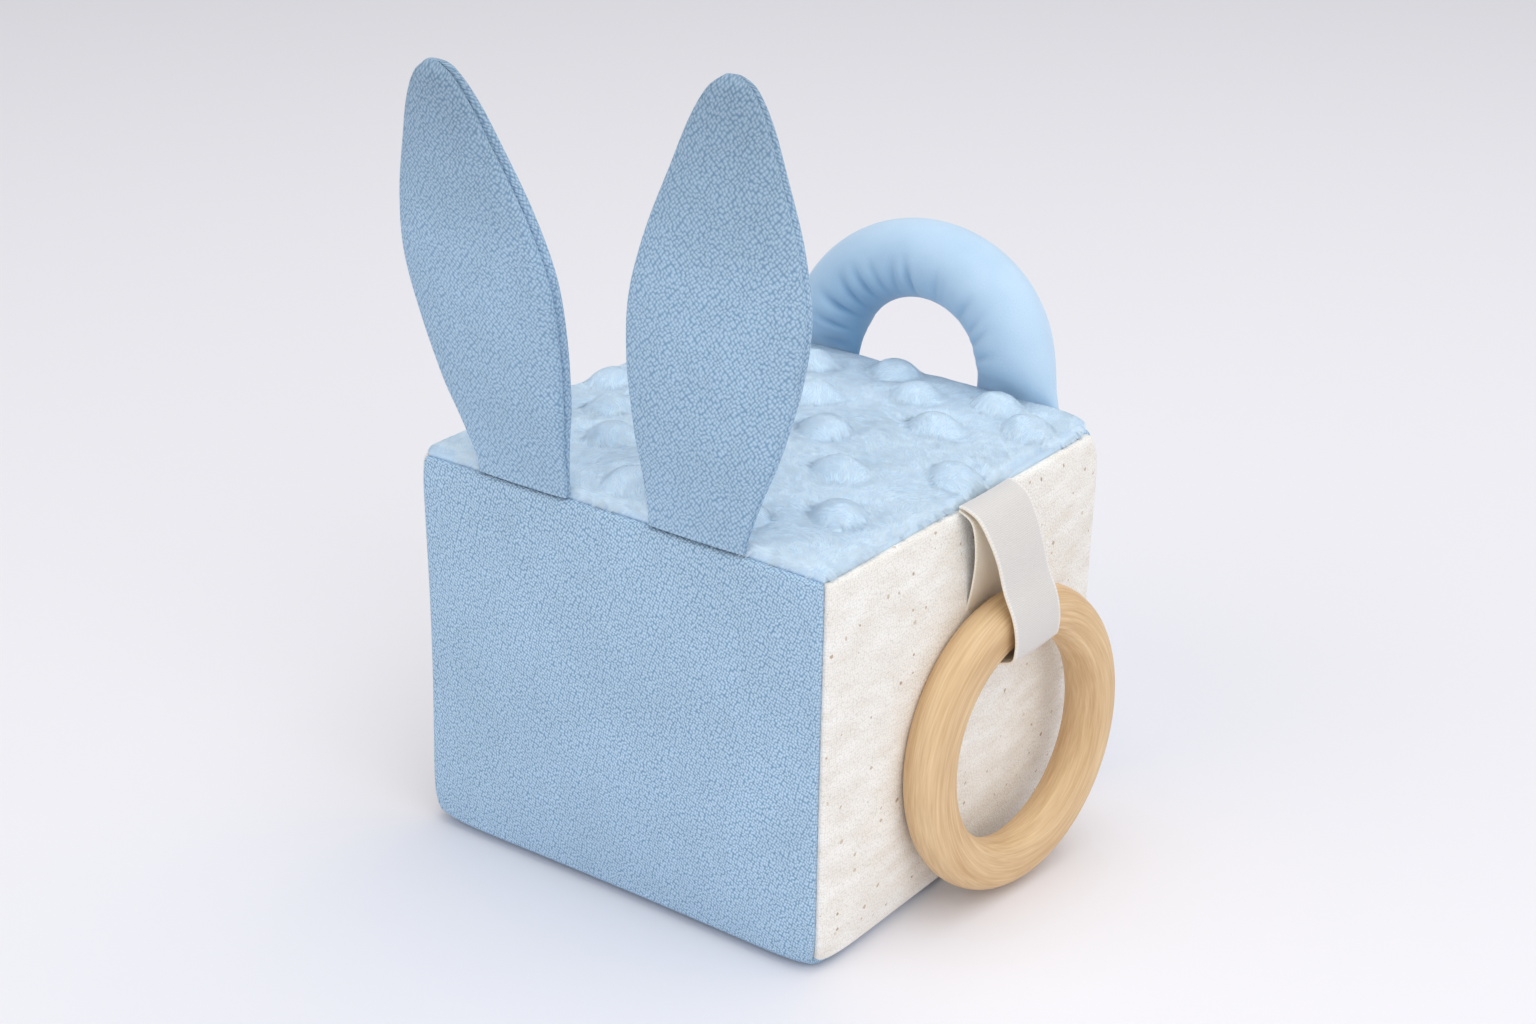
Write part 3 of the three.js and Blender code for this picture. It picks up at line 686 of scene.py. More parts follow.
def curve_through(points, count):
    """Even steps along a smooth curve through some points."""
    points = np.array(points, float)
    last = len(points) - 1
    found = []
    for step in np.linspace(0, last, count):
        k = min(int(step), last - 1)
        t = step - k
        p0, p1, p2, p3 = (points[min(max(k + j, 0), last)] for j in (-1, 0, 1, 2))
        found.append(0.5 * (2 * p1 + (p2 - p0) * t + (2 * p0 - 5 * p1 + 4 * p2 - p3) * t * t
                            + (3 * p1 - p0 - 3 * p2 + p3) * t ** 3))
    return np.array(found)


def ear_line(ear, share):
    """Middle of the ear, its direction across and its front, at a share of its length."""
    lean, curl = np.array(ear["lean"]) * MM, np.array(ear["curl"]) * MM

    def climb(s):
        slope = lean + 2 * curl * s
        return math.sqrt(EAR_LENGTH ** 2 - slope @ slope)

    step = share / CLIMB_STEPS
    height = sum(climb((k + 0.5) * step) * step for k in range(CLIMB_STEPS))
    middle = np.append(lean * share + curl * share ** 2, height)
    along = Vector((*(lean + 2 * curl * share), climb(share))).normalized()
    turn = ear["twist"] * min(share / TWIST_SHARE, 1)
    across = Vector((math.cos(turn), math.sin(turn), 0))
    return np.array(ear["root"]) * MM + middle, np.array(across), np.array(across.cross(along))


def ear_half_thickness(share):
    """The ear swells above its thin root and gets thin again at its tip."""
    rise = min(share / SWELLING_SHARE, 1)
    past = min(max(share - (1 - THINNING_SHARE), 0) / THINNING_SHARE, 1)
    swell = rise * rise * (3 - 2 * rise) * math.sqrt(1 - past ** 2)
    return EAR_ROOT_HALF + (EAR_HALF_THICKNESS - EAR_ROOT_HALF) * swell


print("ear outline:", len(EAR_OUTLINE_SHARES), "measured widths")

# %% [markdown]
# The two skins meet in a fine valley all round the ear. Seen across, a skin is gently domed up to
# its edge, and there it rolls over a small round and turns back in to the seam. The root goes down
# into the seam between the front and the top.

# %% Model the ear skins
EAR_ROWS = 96
EAR_COLUMNS = 48
ROLL_COLUMNS = 9
EAR_EDGE_SHARE = 0.66
NARROW_EDGE_SHARE = 0.5
EAR_ROLL_TURN = math.radians(162)
EAR_DOME_POWER = 2.6
EAR_DOME_EASE = 1.2
TIP_ROUND_SHARE = 0.025
PINCHED_SHARE = 0.05
ROOT_DEPTH_SHARE = 0.8
SKIN_CLEAR = 0.05 * MM
ROOT_DROP = 2.0 * MM
SKINS_APART = 50 * MM


def across_the_ear(half_width, thickness):
    """Reach and depth of one skin's corners from edge to edge, for one row."""
    edge = min(EAR_EDGE_SHARE * thickness, NARROW_EDGE_SHARE * half_width)
    roll = edge / (1 - math.cos(EAR_ROLL_TURN))
    face = np.linspace(0, 1, EAR_COLUMNS // 2 - ROLL_COLUMNS + 1)
    turn = np.linspace(0, EAR_ROLL_TURN, ROLL_COLUMNS + 1)[1:]
    dome = np.sqrt(np.clip(1 - face ** EAR_DOME_POWER, 0, 1)) ** EAR_DOME_EASE
    reach = np.concatenate([(half_width - roll) * face, half_width - roll + roll * np.sin(turn)])
    depth = np.concatenate([edge + (thickness - edge) * dome, edge - roll * (1 - np.cos(turn))])
    return np.concatenate([-reach[:0:-1], reach]), np.concatenate([depth[:0:-1], depth])


def ear_skin(name, ear, side):
    """One skin of an ear: the front one has side 1, and the back one has side -1."""
    skin, columns, rows, grid = grid_piece(name, EAR_COLUMNS, EAR_ROWS)
    outline = curve_through(EAR_OUTLINE_SHARES, EAR_ROWS + 1)
    places = np.zeros_like(grid)
    flat = np.zeros((len(grid), 2))
    for row in range(EAR_ROWS + 1):
        here = rows == row
        width_share, share = outline[row]
        share = min(max(share, 0), 1)
        middle, across, front = ear_line(ear, share)
        past = max(share - (1 - TIP_ROUND_SHARE), 0) / TIP_ROUND_SHARE
        tip = math.sqrt(max(0, 1 - past ** 2))
        reach, depth = across_the_ear(width_share * EAR_HALF_WIDTH, ear_half_thickness(share) * tip)
        opened = math.sin(min(share / PINCHED_SHARE, 1) * math.pi / 2)
        pinch = ROOT_DEPTH_SHARE + (1 - ROOT_DEPTH_SHARE) * opened
        steps = np.cumsum(np.concatenate([[0], np.hypot(np.diff(reach), np.diff(depth))]))
        laid = (steps - steps[-1] / 2)[columns[here]]
        reach, depth = reach[columns[here]], depth[columns[here]] * pinch + SKIN_CLEAR * tip
        places[here] = middle + np.outer(reach, across) + np.outer(side * depth, front)
        if row == 0:
            places[here] -= np.array([0, 0, ROOT_DROP])
        along = share * EAR_LENGTH if row else -ROOT_DROP
        flat[here] = np.stack([laid, np.full(len(laid), along)], axis=1)
    move_corners(skin, places)
    if side < 0:
        start_edit(skin)
        bpy.ops.mesh.flip_normals()
        end_edit()
    cloth_uv(skin, flat[:, 0] + side * SKINS_APART, flat[:, 1])
    smooth(skin)
    return skin


ear_skins = {}
for ear_name, ear in EARS.items():
    for word, side in (("front", 1), ("back", -1)):
        ear_skins[f"{ear_name}_{word}"] = ear_skin(f"{ear_name}_{word}_cloth", ear, side)
print("ear skins:", sorted(ear_skins))

# %% [markdown]
# Between the two skins lies a stiff sheet of felt with a thin pad of wadding on either side. None of
# it is seen, but it is what keeps the ear up. The sheet is a grid along the same line, made thick by
# a modifier, and each pad is a grid that is extruded towards the sheet.

# %% Fill the ears
FILL_ROWS = 40
FILL_COLUMNS = 12
FILL_WIDTH_SHARE = 0.86
FILL_START_SHARE = 0.02
FILL_LENGTH_SHARE = 0.955
OUTLINE_STEPS = 80
FELT_THICKNESS = 0.8 * MM
PAD_CLEAR = 0.1 * MM
PAD_HEIGHT_SHARE = 0.72
PAD_EDGE_LOSS_SHARE = 0.55


def ear_layer(name, ear, side=0):
    """A grid inside the ear: a flat sheet, or with side 1 or -1 a pad in front of it or behind."""
    layer = grid_piece(name, FILL_COLUMNS, FILL_ROWS)[0]
    start_edit(layer)
    if side:
        bpy.ops.mesh.extrude_region_move()
    end_edit()
    raised = np.array([corner.select for corner in layer.data.vertices])
    grid = corners(layer)
    outline = curve_through(EAR_OUTLINE_SHARES, OUTLINE_STEPS)
    places = np.zeros_like(grid)
    flat = np.zeros((len(grid), 2))
    for k, (u, v, _) in enumerate(grid):
        share = FILL_START_SHARE + FILL_LENGTH_SHARE * (v + 1) / 2
        width_share = np.interp(share, outline[:, 1], outline[:, 0])
        width = width_share * EAR_HALF_WIDTH * FILL_WIDTH_SHARE
        middle, across, front = ear_line(ear, share)
        depth = FELT_THICKNESS / 2 + PAD_CLEAR
        if raised[k]:
            skin_depth = ear_half_thickness(share) * (1 - PAD_EDGE_LOSS_SHARE * abs(u) ** 3)
            depth = max(depth + PAD_CLEAR, PAD_HEIGHT_SHARE * skin_depth)
        places[k] = middle + u * width * across + side * depth * front
        flat[k] = u * width, share * EAR_LENGTH
    move_corners(layer, places)
    cloth_uv(layer, flat[:, 0], flat[:, 1])
    return layer


ear_fillings = {}
for ear_name, ear in EARS.items():
    felt = ear_layer(f"{ear_name}_felt", ear)
    finish_modifier(felt, "SOLIDIFY", thickness=FELT_THICKNESS, offset=0)
    ear_fillings[f"{ear_name}_stiffener"] = felt
    for word, side in (("front", 1), ("back", -1)):
        pad = ear_layer(f"{ear_name}_{word}_pad", ear, side)
        start_edit(pad)
        bpy.ops.mesh.normals_make_consistent(inside=False)
        end_edit()
        ear_fillings[f"{ear_name}_{word}_wadding"] = pad
for piece in ear_fillings.values():
    smooth(piece)

# %% [markdown]
# ## The handle
# The handle is a stuffed tube bent into an arch. Its feet are pressed flat and sewn into the back
# seam. The sleeve is cut straight, so on the inner side of the arch it has more cloth than it
# needs, and the spare cloth gathers in small folds that point at the middle of the arch.

# %% Model the handle
HANDLE_CENTRE_X = 4 * MM
HALF_SPAN = 24.2 * MM
ARCH_RISE = 20.9 * MM
LEG_LENGTH = 4 * MM
TUBE_RADIUS = 8.6 * MM
FOOT_HALF_WIDTH = 11.9 * MM
FOOT_HALF_THICKNESS = 1.9 * MM
HANDLE_FOOT_Y = 49.404 * MM
HANDLE_FOOT_LIFT = 0.3 * MM
HANDLE_LEAN = math.radians(11)
SWELL_LENGTH = 12 * MM
HANDLE_STEPS = 160
HANDLE_SIDES = 56
PUCKERS = 15
PUCKER_DEPTH = 1.8 * MM
PUCKER_SHIFT_SHARE = 0.02
SMALLEST_PUCKER_SHARE = 0.45
RIGHT_END_SHARE = 0.4
RIGHT_PUCKER_SHARE = 0.55


def handle_line(count):
    """Places down the middle of the handle: x, rise, direction outwards and half sizes."""
    turns = np.linspace(0, math.pi, count)
    x = HALF_SPAN * np.cos(turns)
    rise = LEG_LENGTH + ARCH_RISE * np.sin(turns)
    legs = max(3, int(LEG_LENGTH / (math.pi * HALF_SPAN / count)))
    below = np.linspace(0, 1, legs, endpoint=False)
    x = np.concatenate([np.full(legs, HALF_SPAN), x, np.full(legs, -HALF_SPAN)])
    rise = np.concatenate([LEG_LENGTH * below, rise, LEG_LENGTH * (1 - below - 1 / legs)])
    turns = np.concatenate([np.zeros(legs), turns, np.full(legs, math.pi)])
    outward = unit(np.stack([np.cos(turns) / HALF_SPAN, np.sin(turns) / ARCH_RISE], axis=1))
    length = np.concatenate([[0], np.cumsum(np.hypot(np.diff(x), np.diff(rise)))])
    from_foot = np.minimum(length, length[-1] - length)
    grown = np.minimum(from_foot / SWELL_LENGTH, 1)
    swell = 1 - (1 - grown) ** 3 * (1 + 2 * grown)
    half_width = FOOT_HALF_WIDTH + (TUBE_RADIUS - FOOT_HALF_WIDTH) * swell
    half_thick = FOOT_HALF_THICKNESS + (TUBE_RADIUS - FOOT_HALF_THICKNESS) * swell
    return x, rise, outward, length, half_width, half_thick


line_x, line_rise, line_out, line_length, line_wide, line_thick = handle_line(HANDLE_STEPS)
rng = np.random.default_rng(7)
pucker_shares = (np.arange(PUCKERS) + 0.5) / PUCKERS
pucker_shares += rng.uniform(-PUCKER_SHIFT_SHARE, PUCKER_SHIFT_SHARE, PUCKERS)
pucker_size_shares = rng.uniform(SMALLEST_PUCKER_SHARE, 1.0, PUCKERS)
pucker_size_shares *= np.where(pucker_shares < RIGHT_END_SHARE, RIGHT_PUCKER_SHARE, 1)
pucker_leans = rng.uniform(-1, 1, PUCKERS)
print("handle line:", round(line_length[-1] / MM, 1), "mm")

# %% [markdown]
# A sewer makes the sleeve from a flat strip, rolled into a tube and closed along its length. Here a
# flat grid is rolled the same way, and its two long edges are merged. The joint lies at the back,
# where it isn't seen. The folds press into the front and back of the tube near its inner side, and
# leave the edge of the handle's opening smooth.

# %% Roll the sleeve
FLANK_ANGLE, FLANK_SPREAD = 1.05, 0.42
PUCKER_WIDTH = 1.25 * MM
PUCKER_LEAN_SHARE, PUCKER_LEAN_ANGLE = 0.02, 0.9
BULGE_SHARE, BULGE_WIDTH_SHARE = 0.35, 2.1
SMOOTH_FOOT_SHARE = 1 / 16
PUCKER_WIDTH_PULL_SHARE = 0.1
THINNEST_TUBE = 0.6 * MM
FLATTEST_SIDE_SHARE = 0.35
# From here on, some names set the handle's painted shade: darker on the inner side, in the folds and
# towards the left foot, where shade falls.
INNER_ANGLE = 1.25
INNER_SHADE_ENDS = (0.45, 1.0)
INNER_SHADE_SHARE, PUCKER_SHADE_SHARE, LEFT_SHADE_SHARE = 0.5, 0.35, 0.16
FADE_LENGTH_SHARE = 0.25
INNER_SHADE_START_SHARE, LEFT_SHADE_START_SHARE = 0.3, 0.5
DARKEST_SHADE = 0.3
MERGE_WITHIN = 0.001 * MM


def fade(share, start):
    """Grows from 0 to 1, from a place on the handle's line towards its left foot."""
    return np.clip((share - start) / FADE_LENGTH_SHARE, 0, 1)


def handle_tube(name, inset, depth):
    """A tube along the handle's line, smaller by an inset, with folds of this depth."""
    tube, _, row, grid = grid_piece(name, HANDLE_SIDES, len(line_x) - 1)
    angle = math.pi / 2 + (grid[:, 0] + 1) * math.pi
    share = line_length[row] / line_length[-1]
    from_inner = np.abs(np.angle(np.exp(1j * (angle - math.pi))))
    on_flank = np.exp(-((from_inner - FLANK_ANGLE) / FLANK_SPREAD) ** 2)
    gather = np.zeros(len(grid))
    for place, size, leaning in zip(pucker_shares, pucker_size_shares, pucker_leans):
        slant = PUCKER_LEAN_SHARE * leaning * (from_inner - PUCKER_LEAN_ANGLE)
        off = (share - place + slant) * line_length[-1] / PUCKER_WIDTH
        gather += size * (np.exp(-off ** 2) - BULGE_SHARE * np.exp(-(off / BULGE_WIDTH_SHARE) ** 2))
    from_foot = np.clip(np.minimum(share, 1 - share) / SMOOTH_FOOT_SHARE, 0, 1)
    pull = depth * gather * on_flank * from_foot
    spread = np.where(np.cos(angle) > 0, line_wide[row], np.minimum(line_wide[row], TUBE_RADIUS))
    wide = spread - inset - PUCKER_WIDTH_PULL_SHARE * pull
    thick = np.maximum(line_thick[row] - inset, THINNEST_TUBE)
    thick -= pull / np.maximum(np.abs(np.sin(angle)), FLATTEST_SIDE_SHARE)
    reach = wide * np.cos(angle)
    places = np.stack([line_x[row] + line_out[row, 0] * reach, thick * np.sin(angle),
                       line_rise[row] + line_out[row, 1] * reach], axis=1)
    places = places @ np.array(Matrix.Rotation(-HANDLE_LEAN, 3, "X")).T
    bow = np.clip(1 - ((places[:, 0] + HANDLE_CENTRE_X) / (BLOCK_WIDTH / 2)) ** 2, 0, 1)
    places += np.array([HANDLE_CENTRE_X, HANDLE_FOOT_Y, BLOCK_HEIGHT + HANDLE_FOOT_LIFT])
    places[:, 2] += FRONT_SEAM_BOW * bow
    move_corners(tube, places)
    cloth_uv(tube, angle * TUBE_RADIUS, line_length[row])
    # Painted shade: the note darkens the inner side of the arch, the folds and the left leg, where shade
    # falls.
    right_shade, left_shade = INNER_SHADE_ENDS
    inner = np.exp(-(from_inner / INNER_ANGLE) ** 2)
    inner *= right_shade + (left_shade - right_shade) * fade(share, INNER_SHADE_START_SHARE)
    tone = 1 - INNER_SHADE_SHARE * inner - PUCKER_SHADE_SHARE * np.clip(gather * on_flank, 0, 1)
    tone -= LEFT_SHADE_SHARE * fade(share, LEFT_SHADE_START_SHARE)
    write_note(tube, "painted_handle_shade", np.clip(tone, DARKEST_SHADE, 1))
    start_edit(tube)
    bpy.ops.mesh.remove_doubles(threshold=MERGE_WITHIN)
    bpy.ops.mesh.normals_make_consistent(inside=False)
    end_edit()
    smooth(tube, degrees=80)
    return tube


handle = handle_tube("handle_cloth", 0, PUCKER_DEPTH)
print("handle:", len(handle.data.polygons), "faces")

# %% Fill the handle
FILLING_INSET = 1.3 * MM
stuffing = handle_tube("handle_filling", FILLING_INSET, 0)
start_edit(stuffing)
bpy.ops.mesh.fill_holes(sides=HANDLE_SIDES)
end_edit()
print("filling:", len(stuffing.data.polygons), "faces")

# %% [markdown]
# ## The ring
# The ring is turned from one piece of pale wood. Its band isn't quite round: it has slightly flat
# sides with a fine ridge and groove at the shoulder. The profile is a small circle, made a little
# square, and the spin tool carries it round the ring's axis. Two notes tell the wood's grain where
# each corner lies on the band, so that the grain runs along the ring.

# %% Turn the wooden ring
RING_DIAMETER = 65 * MM
RING_BAND_WIDTH = 10.6 * MM
RING_BAND_DEPTH = 9.2 * MM
RING_PLACE = Vector((59.536, 4.8, 33.4)) * MM
RING_YAW = math.radians(-5)
RING_TILT = math.radians(2.4)
RING_SQUARENESS = 2.5
SHOULDER_SHARE = 0.010
SHOULDERS = 6
RIDGE_DEGREES, RIDGE_SPREAD = 124, 4
RIDGE_SHARE, GROOVE_SHARE = 0.028, 0.022
GROOVE_PLACE_SHARE = 0.93
GRAIN_DRIFT, GRAIN_DRIFT_START = 2.2 * MM, 0.6
RING_STEPS = 160
RING_SIDES = 96
RING_MERGE_WITHIN = 0.01 * MM
deselect()
middle_radius = (RING_DIAMETER - RING_BAND_WIDTH) / 2
bpy.ops.mesh.primitive_circle_add(vertices=RING_SIDES, radius=1)
ring = bpy.context.object
ring.name = "turned_ring"
circle = corners(ring)
square = np.sign(circle) * np.abs(circle) ** (2 / RING_SQUARENESS)
angle = np.degrees(np.arctan2(circle[:, 1], circle[:, 0]))
shoulder = 1 + SHOULDER_SHARE * np.cos(np.radians(SHOULDERS * angle))
for ridge in (RIDGE_DEGREES, -RIDGE_DEGREES):
    shoulder += RIDGE_SHARE * np.exp(-((angle - ridge) / RIDGE_SPREAD) ** 2)
    shoulder -= GROOVE_SHARE * np.exp(-((angle - GROOVE_PLACE_SHARE * ridge) / RIDGE_SPREAD) ** 2)
profile = np.stack([
    square[:, 1] * shoulder * RING_BAND_DEPTH / 2,
    middle_radius + square[:, 0] * shoulder * RING_BAND_WIDTH / 2,
    np.zeros(RING_SIDES),
], axis=1)
move_corners(ring, profile)
start_edit(ring)
bpy.ops.mesh.spin(steps=RING_STEPS, angle=2 * math.pi, center=(0, 0, 0), axis=(1, 0, 0))
bpy.ops.mesh.select_all(action="SELECT")
bpy.ops.mesh.remove_doubles(threshold=RING_MERGE_WITHIN)
bpy.ops.mesh.normals_make_consistent(inside=False)
end_edit()
x, y, z = corners(ring).T
around = np.arctan2(y, z)
drift = GRAIN_DRIFT * np.cos(around + GRAIN_DRIFT_START)
band_place = [x, np.hypot(y, z) - middle_radius + drift, middle_radius * np.cos(around)]
write_note(ring, "band_place", np.stack(band_place, axis=1))
write_note(ring, "band_around", middle_radius * np.sin(around))
ring_turn = Matrix.Rotation(RING_YAW, 3, "Z") @ Matrix.Rotation(-RING_TILT, 3, "Y")
move_corners(ring, corners(ring) @ np.array(ring_turn).T + np.array(RING_PLACE))
smooth(ring)
print("ring:", [round(x / MM, 1) for x in ring.dimensions], "faces", len(ring.data.polygons))

# %% [markdown]
# ## The ribbon
# One strip of satin ribbon runs from the seam over the outside of the ring's band, through the ring
# and back up to the same seam. A flat grid is laid along that line, as wide as the ribbon, and the
# Solidify modifier gives it its thickness. The side that faces outwards gets the first material.

# %% Lay the ribbon through the ring
RIBBON_WIDTH = 16.6 * MM
RIBBON_SEAM_WIDTH = 18.4 * MM
RIBBON_WIDE_SHARE = 1 / 3
RIBBON_THICKNESS = 0.4 * MM
RIBBON_CUP = 0.25 * MM
RIBBON_SEAM_Y = 3.2 * MM
RIBBON_SEAM_Z = 85.3 * MM
RIBBON_END_X, RIBBON_END_APART = 51.06 * MM, 0.4 * MM
OUTERMOST_X, INNERMOST_X, LOWEST_Z = 64.28 * MM, 52.45 * MM, 53.27 * MM
OUTER_LEG_X = 62 * MM
RIBBON_ROUTE_SHARES = [
    (0.94, 0), (0.74, 0.045), (0.56, 0.15), (0.39, 0.3), (0.24, 0.5), (0.07, 0.65), (0, 0.77),
    (0, 0.88), (0.09, 0.965), (0.5, 1), (0.91, 0.965), (1, 0.88), (1, 0.74), (0.9, 0.565),
    (0.83, 0.395), (0.81, 0.195), (0.88, 0.07),
]
ROUTE_STEPS = 1200
RIBBON_ROWS = 160
RIBBON_COLUMNS = 20
drop = RIBBON_SEAM_Z - LOWEST_Z
route = [(RIBBON_END_X, RIBBON_SEAM_Z + RIBBON_END_APART)]
for inward, down in RIBBON_ROUTE_SHARES:
    route.append((OUTERMOST_X - inward * (OUTERMOST_X - INNERMOST_X), RIBBON_SEAM_Z - down * drop))
route.append((RIBBON_END_X, RIBBON_SEAM_Z - RIBBON_END_APART))
line = curve_through(route, ROUTE_STEPS)
run = np.concatenate([[0], np.cumsum(np.hypot(*np.diff(line, axis=0).T))])
even_steps = np.linspace(0, run[-1], RIBBON_ROWS + 1)
line_across, line_up = (np.interp(even_steps, run, line[:, k]) for k in (0, 1))
ribbon, _, rows, grid = grid_piece("ribbon_cloth", RIBBON_COLUMNS, RIBBON_ROWS)
hang = np.clip((RIBBON_SEAM_Z - line_up[rows]) / drop, 0, 1)
middle_y = RIBBON_SEAM_Y + (RING_PLACE.y - RIBBON_SEAM_Y) * hang
narrowed = np.clip(hang / RIBBON_WIDE_SHARE, 0, 1)
half = (RIBBON_SEAM_WIDTH + (RIBBON_WIDTH - RIBBON_SEAM_WIDTH) * narrowed) / 2
cupped = line_across[rows] - RIBBON_CUP * grid[:, 0] ** 2
move_corners(ribbon, np.stack([cupped, middle_y + half * grid[:, 0], line_up[rows]], axis=1))
cloth_uv(ribbon, grid[:, 0] * RIBBON_WIDTH / 2, rows / RIBBON_ROWS * run[-1])
for side in ("ribbon_face", "ribbon_reverse"):
    ribbon.data.materials.append(bpy.data.materials.new(side))
finish_modifier(ribbon, "SOLIDIFY", thickness=RIBBON_THICKNESS, offset=0, material_offset=1)
outer_faces = [face for face in ribbon.data.polygons if face.center.x > OUTER_LEG_X]
if np.mean([face.normal.x for face in outer_faces if face.material_index == 0]) < 0:
    for face in ribbon.data.polygons:
        face.material_index = 1 - face.material_index
smooth(ribbon, degrees=40)
print("ribbon length", round(run[-1] / MM, 1), "mm")

# %% [markdown]
# ## Finishes
# The cloths differ more in their surface than in their colour. The knit has small round grains, the
# plush has a brushed pile, the cotton is flecked, the ribbon is ribbed satin, and the ring is wood.
# Every pattern is built from nodes, and cloth patterns follow the UV map, where one unit is a metre.
# A few helpers come first: they stretch a value to another range, blend two tones, multiply, sway a
# pattern so that it isn't too straight, and turn a height into relief.

# %% Helpers for finishes


def ranged(tree, value, start, end, low=0.0, high=1.0):
    """A value between start and end, stretched to lie between low and high."""
    limits = {"From Min": start, "From Max": end, "To Min": low, "To Max": high}
    return put(tree, "ShaderNodeMapRange", {"Value": value, **limits}).outputs[0]


def two_tones(tree, share, low, high, from_share=0.0, to_share=1.0):
    """A colour that changes from the low tone to the high tone as the share grows."""
    ramp = put(tree, "ShaderNodeValToRGB", {"Fac": share})
    first, last = ramp.color_ramp.elements
    first.color = low
    last.color = high
    first.position = from_share
    last.position = to_share
    return ramp.outputs["Color"]


def product(tree, one, other, kind="ShaderNodeMath"):
    """Two numbers multiplied, or two colours with kind ShaderNodeVectorMath."""
    return put(tree, kind, {0: one, 1: other}, operation="MULTIPLY").outputs[0]


def coloured(tree, colour, level):
    return product(tree, colour, level, "ShaderNodeVectorMath")


def swayed_place(tree, place, scale, detail, far):
    """A place that is moved a little by a noise, so that threads and grains don't lie too straight."""
    sway = put(tree, "ShaderNodeTexNoise", {"Vector": place, "Scale": scale, "Detail": detail})
    moved = coloured(tree, sway.outputs["Color"], (far, far, 0))
    return put(tree, "ShaderNodeVectorMath", {0: place, 1: moved}).outputs[0]


def add_relief(tree, shader, height, strength, depth):
    bump = put(tree, "ShaderNodeBump", {"Height": height, "Strength": strength, "Distance": depth})
    tree.links.new(bump.outputs[0], shader.inputs["Normal"])


print("helpers for finishes ready")

# %% Pebbled blue knit
BLUE_SHEEN = (0.72, 0.87, 1.0, 1)


def knit_finish(name, grain_size, low, high, turned, far_tone=1.0):
    finish, tree, shader = new_finish(
        name, Roughness=0.92, Specular_IOR_Level=0.25, Sheen_Weight=0.25, Sheen_Roughness=0.5,
        Sheen_Tint=BLUE_SHEEN)
    cloth = put(tree, "ShaderNodeUVMap", uv_map="cloth").outputs[0]
    grain_scale = (1 / grain_size, 0.86 / grain_size, 1)
    laid = put(tree, "ShaderNodeMapping", {
        "Vector": cloth, "Rotation": (0, 0, turned), "Scale": grain_scale}).outputs[0]
    place = swayed_place(tree, laid, scale=0.15, detail=1.0, far=2.0)
    grains = put(
        tree, "ShaderNodeTexVoronoi", {"Vector": place, "Scale": 1.0, "Randomness": 0.5},
        voronoi_dimensions="2D")
    # The grains are lighter on their caps and darker in the pits between them: painted highlight and
    # painted shade on the knit's grain pattern.
    caps = ranged(tree, grains.outputs["Distance"], 0.2, 0.68, 1.0, 0.0)
    tone = two_tones(tree, caps, low, high)
    clouds = put(tree, "ShaderNodeTexNoise", {"Vector": cloth, "Scale": 40.0, "Detail": 3.0})
    patchy = ranged(tree, clouds.outputs["Fac"], 0.3, 0.7, 0.95, 1.04)
    # Painted shade: with a tone below 1, the cloth gets darker from 50 mm to 90 mm along it, towards the
    # ear tips.
    along = put(tree, "ShaderNodeSeparateXYZ", {0: cloth}).outputs[1]
    far = ranged(tree, along, 50 * MM, 90 * MM, 1.0, far_tone)
    colour = coloured(tree, tone, product(tree, patchy, far))
    tree.links.new(colour, shader.inputs["Base Color"])
    add_relief(tree, shader, caps, 0.8, 0.35 * grain_size)
    return finish


front_knit = knit_finish(
    "fine_blue_knit", grain_size=0.57 * MM, low=(0.20, 0.36, 0.54, 1), high=(0.56, 0.74, 0.93, 1),
    turned=0.35)
# The ears get painted shade towards their tips.
ear_knit = knit_finish(
    "pebbled_blue_knit", grain_size=0.67 * MM, low=(0.22, 0.37, 0.55, 1), high=(0.48, 0.66, 0.84, 1),
    turned=0.8, far_tone=0.72)
print("knits ready")

# %% Brushed blue plush
# Painted shade on the plush: darker, and bluer as it gets darker.
SHADE_TONE = (1, 0.76, 0.58)
SHADE_TONE_BASE = (0, 0.24, 0.42)


def plush_finish(name, low, high, hair_size, depth, shaded_by=None):
    """A short brushed plush; a note of the mesh may paint shade on it, darker and bluer where the note is
    low.
    """
    finish, tree, shader = new_finish(
        name, Roughness=0.95, Specular_IOR_Level=0.15, Sheen_Weight=0.35, Sheen_Roughness=0.5)
    cloth = put(tree, "ShaderNodeUVMap", uv_map="cloth").outputs[0]
    hairs = put(tree, "ShaderNodeTexNoise", {
        "Vector": cloth, "Scale": 1 / hair_size, "Detail": 4.0, "Roughness": 0.6}).outputs["Fac"]
    clouds = put(tree, "ShaderNodeTexNoise", {"Vector": cloth, "Scale": 110.0, "Detail": 2.0})
    mixed = put(tree, "ShaderNodeMath", {0: hairs, 1: clouds.outputs["Fac"]}, operation="ADD").outputs[0]
    colour = two_tones(tree, ranged(tree, mixed, 0.7, 1.3), low, high)
    if shaded_by:
        painted_shade = put(tree, "ShaderNodeAttribute", attribute_name=shaded_by).outputs["Fac"]
        eased = put(
            tree, "ShaderNodeVectorMath", {0: painted_shade, 1: SHADE_TONE, 2: SHADE_TONE_BASE},
            operation="MULTIPLY_ADD").outputs[0]
        colour = coloured(tree, colour, eased)
    tree.links.new(colour, shader.inputs["Base Color"])
    add_relief(tree, shader, hairs, 0.5, depth)
    return finish


def pile_finish(name, root_colour, tip_colour):
    finish, tree, shader = new_finish(
        name, Roughness=0.8, Specular_IOR_Level=0.2, Sheen_Weight=0.25, Sheen_Roughness=0.5,
        Sheen_Tint=BLUE_SHEEN)
    height = put(tree, "ShaderNodeAttribute", attribute_name="tip_share").outputs["Fac"]
    lock = put(tree, "ShaderNodeAttribute", attribute_name="blade_tone").outputs["Fac"]
    colour = coloured(tree, two_tones(tree, height, root_colour, tip_colour), lock)
    tree.links.new(colour, shader.inputs["Base Color"])
    return finish


